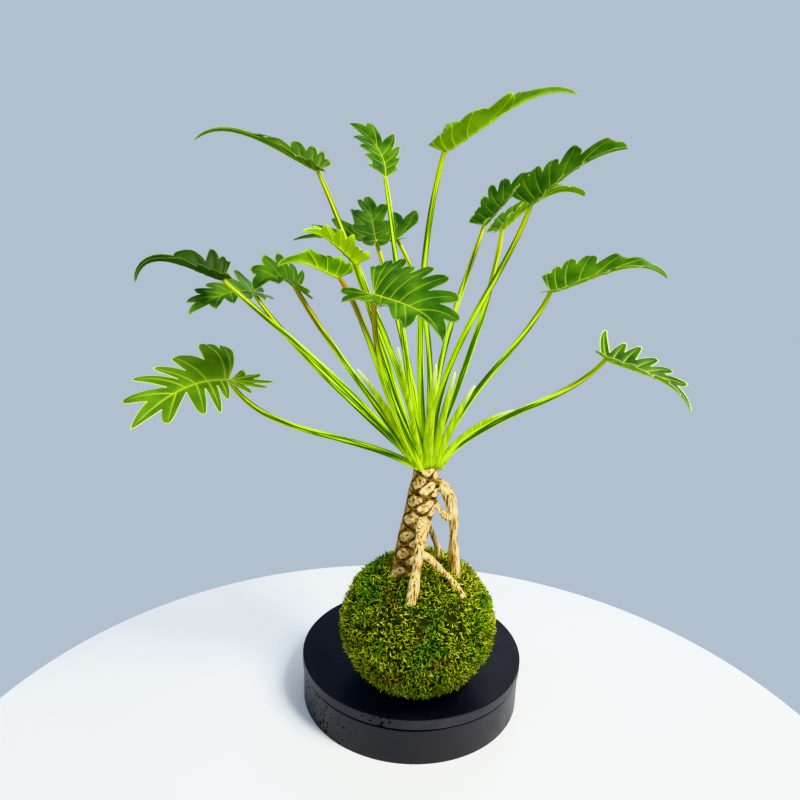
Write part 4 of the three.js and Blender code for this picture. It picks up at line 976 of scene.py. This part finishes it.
stalk, stalk_inputs = stalk_tree()
for number, leaf in enumerate(LEAVES, 1):
    heading = math.radians(leaf["seat"][0])
    reach = leaf["seat"][1]
    seat = (CROWN[0] + reach * math.cos(heading), CROWN[1] + reach * math.sin(heading), CROWN[2])
    controls = curve_through([seat, leaf["low"], leaf["high"], leaf["joint"]])
    way = [tuple(point) for point in cubic(controls, np.linspace(0, 1, STALK_POINTS))]
    line_mesh = bpy.data.meshes.new("line")
    line_mesh.from_pydata(way, [(k, k + 1) for k in range(STALK_POINTS - 1)], [])
    line = placed("line", line_mesh)
    piece = grown(f"stalk_{number:02d}", line, stalk, stalk_inputs, STALK, stalk_skin)
    bpy.data.objects.remove(line)
    one_value(piece.data, "tan", leaf["tan"])
    finish_piece(piece, "stalk", f"petiole_{number:02d}")

# Blades
# Leathery blades cut into lobes, folded up along a stout midrib. Pale veins run from it into every
# lobe, sunk on the glossy dark upper side and raised on the dull light underside, and a thin pale
# margin runs round the edge.

# vein_start: where a vein leaves the midrib, as a share of where its lobe is. ruffle: how far lobes lift,
# in metres. droop and sweep: how much the sides hang and the pattern is drawn forward, beside the midrib.
BLADE = {"thickness": 0.0006, "vein_start": 0.6, "ruffle": 0.003, "droop": 0.12, "sweep": 0.3}

# The blade thins to this share of its thickness at the edge, from about this distance inside it.
THIN_EDGE = 0.35
THIN_FROM = 0.0012

# A lobe's outline runs from the notches beside it by a waist and a shoulder to its tip. All are shares.
LOBE = {"neck": (0.12, 0.85), "waist_at": 0.4, "waist": 0.08, "shoulder_at": 1}
END = {"share": 0.35, "shoulder_at": 0.88, "waist": 0.1}
WEB_ROWS = (0, 0.05, 0.12, 0.22, 0.36, 0.52, 0.7, 0.86, 1)
FINGER_ROWS = (0.08, 0.18, 0.3, 0.42, 0.54, 0.66, 0.77, 0.86, 0.93, 0.975)
LOBE_COLUMNS = (1, 0.93, 0.78, 0.58, 0.36, 0.17, 0.06, 0)

# Half widths of the veins and the midrib, how far they stand out below, and the groove above a vein.
VEIN_WIDTH = 0.00036
VEIN_TAPER = 0.85
RIB_WIDTH = 0.0009
VEIN_RISE = 0.0004
RIB_RISE = 0.0012
RISE_FADE = 0.002
GROOVE = 0.00012

# How far the blade swells between its veins, and waves towards its edge.
QUILT = 0.0005
WAVE = 0.0009
WAVE_SCALE = 95
PLAN_SIZE = 0.1
UPPER_SIDE = dict(dark=(0.022, 0.085, 0.010), light=(0.090, 0.220, 0.016), lime=(0.280, 0.480, 0.014),
                  vein_tone=(0.400, 0.560, 0.040), vein_from=0.2, margin_tone=(0.560, 0.680, 0.220))
UNDERSIDE = dict(dark=(0.080, 0.230, 0.008), light=(0.200, 0.400, 0.012), lime=(0.440, 0.660, 0.016),
                 vein_tone=(0.560, 0.740, 0.024), vein_from=0.45, margin_tone=(0.460, 0.620, 0.080))
# Near black, mixed into darkened blades as painted shade.
PAINTED_SHADE_TONE = (0.005, 0.026, 0.002)
BLADE_RELIEF = 0.0003


def wobble(seed):
    """A fixed spread between -1 and 1, so that no two lobes are quite alike."""
    wave = math.sin(seed * 12.9898) * 43758.5453
    return 2 * (wave - math.floor(wave)) - 1


def swept(leaf, w):
    """How far forward the blade's pattern is drawn at a distance w beside the midrib."""
    return BLADE["sweep"] * w * w / (leaf["half"] * MM)


def mirrored(point, start, end):
    """The point on the other side of the line from start to end."""
    along = end - start
    share = along.dot(point - start) / along.dot(along)
    return start + 2 * share * along - (point - start)


def lobes_of(leaf, seed, length):
    """Each lobe runs from its vein's start on the midrib, between two notches, to its tip."""
    lobes = []
    for side, marks in ((1, leaf["left"]), (-1, leaf["right"])):
        count = len(marks)
        tips = [np.array([u * MM - swept(leaf, w * MM), side * w * MM]) for u, w, _ in marks]
        starts = [np.array([max(0, BLADE["vein_start"] * u * MM), 0]) for u, _, _ in marks]
        starts[0] = np.zeros(2)
        starts.append(np.array([(BLADE["vein_start"] * length + starts[-1][0]) / 2, 0]))
        end = np.array([length, 0])
        notches = []
        for lobe in range(count):
            start = starts[count] if lobe == count - 1 else (starts[lobe] + starts[lobe + 1]) / 2
            after = tips[lobe] + END["share"] * (end - tips[lobe])
            edge = after if lobe == count - 1 else (tips[lobe] + tips[lobe + 1]) / 2
            notches.append((start, edge + marks[lobe][2] * (start - edge)))
        notches.insert(0, (starts[0], mirrored(notches[0][1], starts[0], tips[0])))
        for lobe in range(count):
            lift = BLADE["ruffle"] * wobble(29 * seed + 5 * lobe + side)
            lobes.append(dict(side=side, lift=lift, blunt=leaf["blunt"], waist=LOBE["waist"],
                              shoulder_at=LOBE["shoulder_at"], start=starts[lobe], tip=tips[lobe],
                              notches=notches[lobe:lobe + 2]))
        lobes.append(dict(side=side, lift=0, blunt=leaf["full"], waist=END["waist"],
                          shoulder_at=END["shoulder_at"], start=starts[count], tip=end,
                          notches=[notches[count]]))
    return lobes


def lobe_rows(lobe):
    """Rows of flat points with their lift: from edge to edge across each lobe, by way of its vein."""
    start, tip, notches = lobe["start"], lobe["tip"], lobe["notches"]
    span = tip - start
    shares = [(end - start).dot(span) / span.dot(span) for _, end in notches]
    neck = start + span * min(max(sum(shares) / len(shares), LOBE["neck"][0]), LOBE["neck"][1])
    run = tip - neck
    across = np.array([-span[1], span[0]]) / math.hypot(*span)
    rows = []
    for share in WEB_ROWS:
        vein = start + share * (neck - start)
        edges = [begin + share * (end - begin) for begin, end in notches]
        rows.append((edges, vein, 0))
    for t in FINGER_ROWS:
        vein = cubic([neck, neck + LOBE["waist_at"] * run, neck + lobe["shoulder_at"] * run, tip], t)[0]
        edges = []
        for _, end in notches:
            half = (end - neck).dot(across)
            waist = end + LOBE["waist_at"] * run - lobe["waist"] * half * across
            shoulder = neck + lobe["shoulder_at"] * run + lobe["blunt"] * half * across
            edges.append(cubic([end, waist, shoulder, tip], t)[0])
        rows.append((edges, vein, lobe["lift"] * t * t))
    grid = []
    for edges, vein, lift in rows:
        row = [vein + share * (edges[0] - vein) for share in LOBE_COLUMNS]
        if len(edges) > 1:
            row += [vein + share * (edges[1] - vein) for share in LOBE_COLUMNS[-2::-1]]
        grid.append([(point[0], point[1], lift) for point in row])
    return grid


def edges_of(face):
    """The pairs of corners along the face's edges, in turn."""
    return list(zip(face, face[1:] + face[:1]))


def stitched(faces, flat):
    """The faces, with each one's edge on the midrib broken at every point that the other half has there."""
    middle = sorted((k for k, point in enumerate(flat) if abs(point[1]) < 1e-9 and point[0] > -1e-9),
                    key=lambda k: flat[k][0])
    order = {k: place for place, k in enumerate(middle)}
    result = []
    for face in faces:
        whole = []
        for begin, end in edges_of(face):
            whole.append(begin)
            if begin in order and end in order:
                a, b = order[begin], order[end]
                whole += middle[a + 1:b] if a < b else middle[b + 1:a][::-1]
        result.append(whole)
    return result


def from_line(points, begin, end):
    """How far every point is from a straight line, and how far along the line its foot lies, 0 to 1."""
    run = end - begin
    share = np.clip((points - begin) @ run / run.dot(run), 0, 1)
    return np.linalg.norm(points - begin - share[:, None] * run, axis=1), share


def blade_pattern(leaf, seed, length):
    """The flat blade: its points with their lift, its faces, and its veins from their start to their tip."""
    keys = {}
    flat = []
    faces = []
    veins = []

    def index_of(point):
        key = (round(point[0] / MM, 3), round(point[1] / MM, 3))
        if key not in keys:
            keys[key] = len(flat)
            flat.append(point)
        return keys[key]

    for lobe in lobes_of(leaf, seed, length):
        grid = [[index_of(point) for point in row] for row in lobe_rows(lobe)]
        end = index_of((*lobe["tip"], lobe["lift"]))
        found = []
        for low, high in zip(grid, grid[1:]):
            found += [(low[k], low[k + 1], high[k + 1], high[k]) for k in range(len(low) - 1)]
        found += [(grid[-1][k], grid[-1][k + 1], end) for k in range(len(grid[-1]) - 1)]
        for face in found:
            corners = list(dict.fromkeys(face))
            if len(corners) > 2:
                faces.append(corners if lobe["side"] > 0 else corners[::-1])
        if len(lobe["notches"]) > 1:
            veins.append((lobe["start"], lobe["tip"]))
    return np.array(flat), stitched(faces, flat), veins


def bent_blade(leaf, seed, midrib, length, flat, quilt):
    """The flat points, folded up beside the midrib and bent along it."""
    u, w, lift = flat.T
    u = u + swept(leaf, w)
    t = np.clip(u / length, 0, 1)
    s = t[:, None]
    controls = 3 * np.diff(midrib, axis=0)
    tangent = unit(controls[0] * (1 - s) ** 2 + 2 * controls[1] * s * (1 - s) + controls[2] * s * s)
    sideways = unit(np.cross(np.array(leaf["face"], float), tangent))
    upwards = np.cross(tangent, sideways)
    fold = np.radians(np.where(w > 0, *leaf["fold"]))
    half = leaf["half"] * MM
    wave = [noise.noise(Vector((a * WAVE_SCALE, b * WAVE_SCALE, seed * 3.7))) for a, b in flat[:, :2]]
    rise = np.abs(w) * np.sin(fold) - BLADE["droop"] * w * w / half + lift + quilt
    rise += WAVE * np.clip(np.abs(w) / half, 0, 1) * np.array(wave)
    middle = cubic(midrib, t) + tangent * np.minimum(0, u)[:, None] + sideways * (w * np.cos(fold))[:, None]
    return middle + upwards * rise[:, None]


def blade(name, leaf, seed, materials):
    """One blade: its flat pattern, cut, folded and bent along the midrib, with its veins and two sides."""
    midrib = curve_through([leaf["joint"], leaf["mid"], leaf["late"], leaf["tip"]])
    fine = cubic(midrib, np.linspace(0, 1, 201))
    length = float(np.linalg.norm(np.diff(fine, axis=0), axis=1).sum())
    flat, faces, veins = blade_pattern(leaf, seed, length)
    count = len(flat)
    border = set()
    for face in faces:
        for pair in edges_of(face):
            border.symmetric_difference_update({tuple(sorted(pair))})
    rim_points = flat[sorted({corner for pair in border for corner in pair})][:, :2]
    margin = np.array([np.min(np.hypot(*(rim_points - point).T)) for point in flat[:, :2]])
    vein = np.full(count, np.inf)
    for start, tip in veins:
        distance, where = from_line(flat[:, :2], start, tip)
        vein = np.minimum(vein, distance / (VEIN_WIDTH * (1.15 - VEIN_TAPER * where)))
    u, w = flat[:, 0], flat[:, 1]
    rib_half = RIB_WIDTH * np.clip(1.1 - u / length, 0.12, 1)
    ribbed = np.where(u >= 0, np.abs(w), np.hypot(u, w)) / rib_half
    quilt = QUILT * (1 - np.exp(-(vein / 5) ** 2)) * (1 - np.exp(-(ribbed / 3) ** 2))
    middle = bent_blade(leaf, seed, midrib, length, flat, quilt)

    normals = np.zeros((count, 3))
    for face in faces:
        a, b, c = (middle[face[k]] for k in (0, 1, -1))
        normals[face] += np.cross(b - a, c - a)
    normals /= np.maximum(np.linalg.norm(normals, axis=1, keepdims=True), 1e-12)
    thick = BLADE["thickness"] / 2 * np.clip(THIN_EDGE + margin / THIN_FROM, THIN_EDGE, 1)
    groove = GROOVE * np.exp(-vein ** 2)
    ridge = VEIN_RISE * np.exp(-(vein / 1.3) ** 2)
    ridge += RIB_RISE * (rib_half / RIB_WIDTH) * np.exp(-(ribbed / 1.2) ** 2)
    ridge *= np.clip(margin / RISE_FADE, 0, 1)
    upper = middle + normals * (thick - groove)[:, None]
    under = middle - normals * (thick + ridge)[:, None]
    sheet = [tuple(face) for face in faces]
    sheet += [tuple(corner + count for corner in face[::-1]) for face in faces]
    wall = [(end, begin, begin + count, end + count) for face in faces for begin, end in edges_of(face)
            if tuple(sorted((begin, end))) in border]
    piece = mesh_object(name, np.vstack([upper, under]), sheet + wall, materials)
    sides = [0] * len(faces) + [1] * len(faces) + [0] * len(wall)
    piece.data.polygons.foreach_set("material_index", sides)
    for mark, values in (("vein", vein), ("rib", ribbed), ("margin", margin / MM)):
        point_values(piece.data, mark, np.tile(values, 2))
    one_value(piece.data, "young", leaf["young"])
    one_value(piece.data, "paleness", leaf["veins"])
    plan = piece.data.uv_layers.new(name="plan")
    corners = np.zeros(len(piece.data.loops), np.int32)
    piece.data.loops.foreach_get("vertex_index", corners)
    plan.data.foreach_set("uv", (flat[corners % count, :2] / PLAN_SIZE).astype(np.float32).ravel())
    return piece


def blade_finish(name, roughness, dark, light, lime, vein_tone, vein_from, margin_tone):
    """The skin of one side of a blade, with its veins, its margin, the lighter green beside the veins and
    painted shade on darkened blades.
    """
    skin, tree, shader = start_material(name, {"Roughness": roughness, "Specular IOR Level": 0.1})
    plan = node(tree, "ShaderNodeUVMap", uv_map="plan").outputs[0]
    cloud = noise_value(tree, scale=5, detail=4, vector=plan)
    fine = noise_value(tree, scale=25, detail=2, vector=plan)
    young = attribute(tree, "young")
    pale = attribute(tree, "paleness")
    line = maths(tree, "MINIMUM", attribute(tree, "vein"), attribute(tree, "rib"))
    halo = maths(tree, "MULTIPLY", spread(tree, line, 0.5, 6, 1, 0), pale)
    vein_reach = maths(tree, "ADD", maths(tree, "MULTIPLY", pale, 0.7), vein_from)
    edge = spread(tree, attribute(tree, "margin"), 0.9, 0.25)
    layers = [
        (spread(tree, cloud, 0.35, 0.7), light),
        (young, lime),
        (maths(tree, "MULTIPLY", halo, 0.22), vein_tone),
        (spread(tree, maths(tree, "SUBTRACT", vein_reach, line), -0.35, 0.35), vein_tone),
        # Blades with a value below 0 are darkened towards near black: painted shade.
        (maths(tree, "MULTIPLY", young, -1.0), PAINTED_SHADE_TONE),
        (maths(tree, "MULTIPLY", edge, maths(tree, "MULTIPLY", pale, 0.95)), margin_tone),
    ]
    colour_with(tree, shader, layered(tree, dark, *layers))
    relief = maths(tree, "ADD", maths(tree, "MULTIPLY", fine, 0.5), cloud)
    add_bump(tree, shader, relief, BLADE_RELIEF, 0.4)
    return skin


upper_skin = blade_finish("blade_upper_side", roughness=0.42, **UPPER_SIDE)
under_skin = blade_finish("blade_underside", roughness=0.6, **UNDERSIDE)
for number, leaf in enumerate(LEAVES, 1):
    piece = blade(f"blade_skin_{number:02d}", leaf, number - 1, [upper_skin, under_skin])
    finish_piece(piece, "blade", f"blade_{number:02d}")

# Sheaths
# The papery scale leaves that wrapped each young leaf, left standing round the crown: flat pointed
# strips, cupped towards the stalks, pale yellow-green with fine lengthwise nerves.

# Each is the points at its foot, middle and tip, and half its width, in millimetres.
SHEATHS = [
    ([(-3, -48.6, 252), (-28, -57, 300), (-52, -66, 337)], 3.6),
    ([(4, -50.4, 252), (5, -60, 302), (7, -68, 344)], 4.4),
    ([(8, -48.6, 252), (15, -54, 297), (22, -58, 335)], 3.6),
    ([(10.6, -46.8, 251), (23, -51, 290), (38, -53, 323)], 3.8),
    ([(13, -45.2, 249), (38, -50, 284), (70, -54, 304)], 3.8),
    ([(0.8, -50.4, 253), (-13, -70, 316), (-22, -86, 361)], 2.4),
]
SHEATH_ROWS = 36
SHEATH_COLUMNS = 13
SHEATH_THICKNESS = 0.0007
SHEATH_CUP = 0.35
SHEATH_RELIEF = 0.0003
SHEATH_TIP = 0.5
SHEATH_TONES = [(0.38, (0.240, 0.440, 0.007)), (0.62, (0.520, 0.700, 0.022))]
DRY_TIP_TONE = (0.880, 0.900, 0.420)


def sheath(name, points, half, material):
    """A pointed strip with its hollow side to the back, towards the stalks."""
    foot, middle, tip = np.array(points, float) * MM
    control = 2 * middle - (foot + tip) / 2
    t = np.linspace(0, 1, SHEATH_ROWS)[:, None]
    spine = foot * (1 - t) ** 2 + 2 * control * t * (1 - t) + tip * t * t
    tangent = unit(2 * (control - foot) * (1 - t) + 2 * (tip - control) * t)
    sideways = unit(np.cross((0, -1, 0), tangent))
    outwards = np.cross(tangent, sideways)
    width = (SHEATH_TIP + (half - SHEATH_TIP) * np.sqrt(1 - t[:, 0])) * MM
    rings = []
    for row in range(SHEATH_ROWS):
        front = [spine[row] + sideways[row] * width[row] * across
                 + outwards[row] * (SHEATH_CUP * width[row] * (1 - across * across))
                 for across in np.linspace(-1, 1, SHEATH_COLUMNS)]
        back = [point - outwards[row] * SHEATH_THICKNESS for point in front[::-1]]
        rings.append(front + back)
    piece = ringed_mesh(name, rings, spine[0], spine[-1], [material])
    point_values(piece.data, "along", np.r_[0, np.repeat(t[:, 0], 2 * SHEATH_COLUMNS), 1])
    return piece


sheath_skin, sheath_shade, sheath_shader = start_material("sheath_skin", {
    "Roughness": 0.55, "Specular IOR Level": 0.15,
})
sheath_streak = noise_value(sheath_shade, scale=420, detail=3, stretch=(1, 1, 0.08))
sheath_tone = ramp(sheath_shade, sheath_streak, SHEATH_TONES)
tip_share = spread(sheath_shade, attribute(sheath_shade, "along"), 0.68, 1, 0, 0.85)
colour_with(sheath_shade, sheath_shader, blend_colours(sheath_shade, tip_share, sheath_tone, DRY_TIP_TONE))
add_bump(sheath_shade, sheath_shader, sheath_streak, SHEATH_RELIEF)
for number, (points, half) in enumerate(SHEATHS, 1):
    piece = sheath(f"sheath_skin_{number:02d}", points, half, sheath_skin)
    finish_piece(piece, "sheath", f"sheath_{number:02d}")
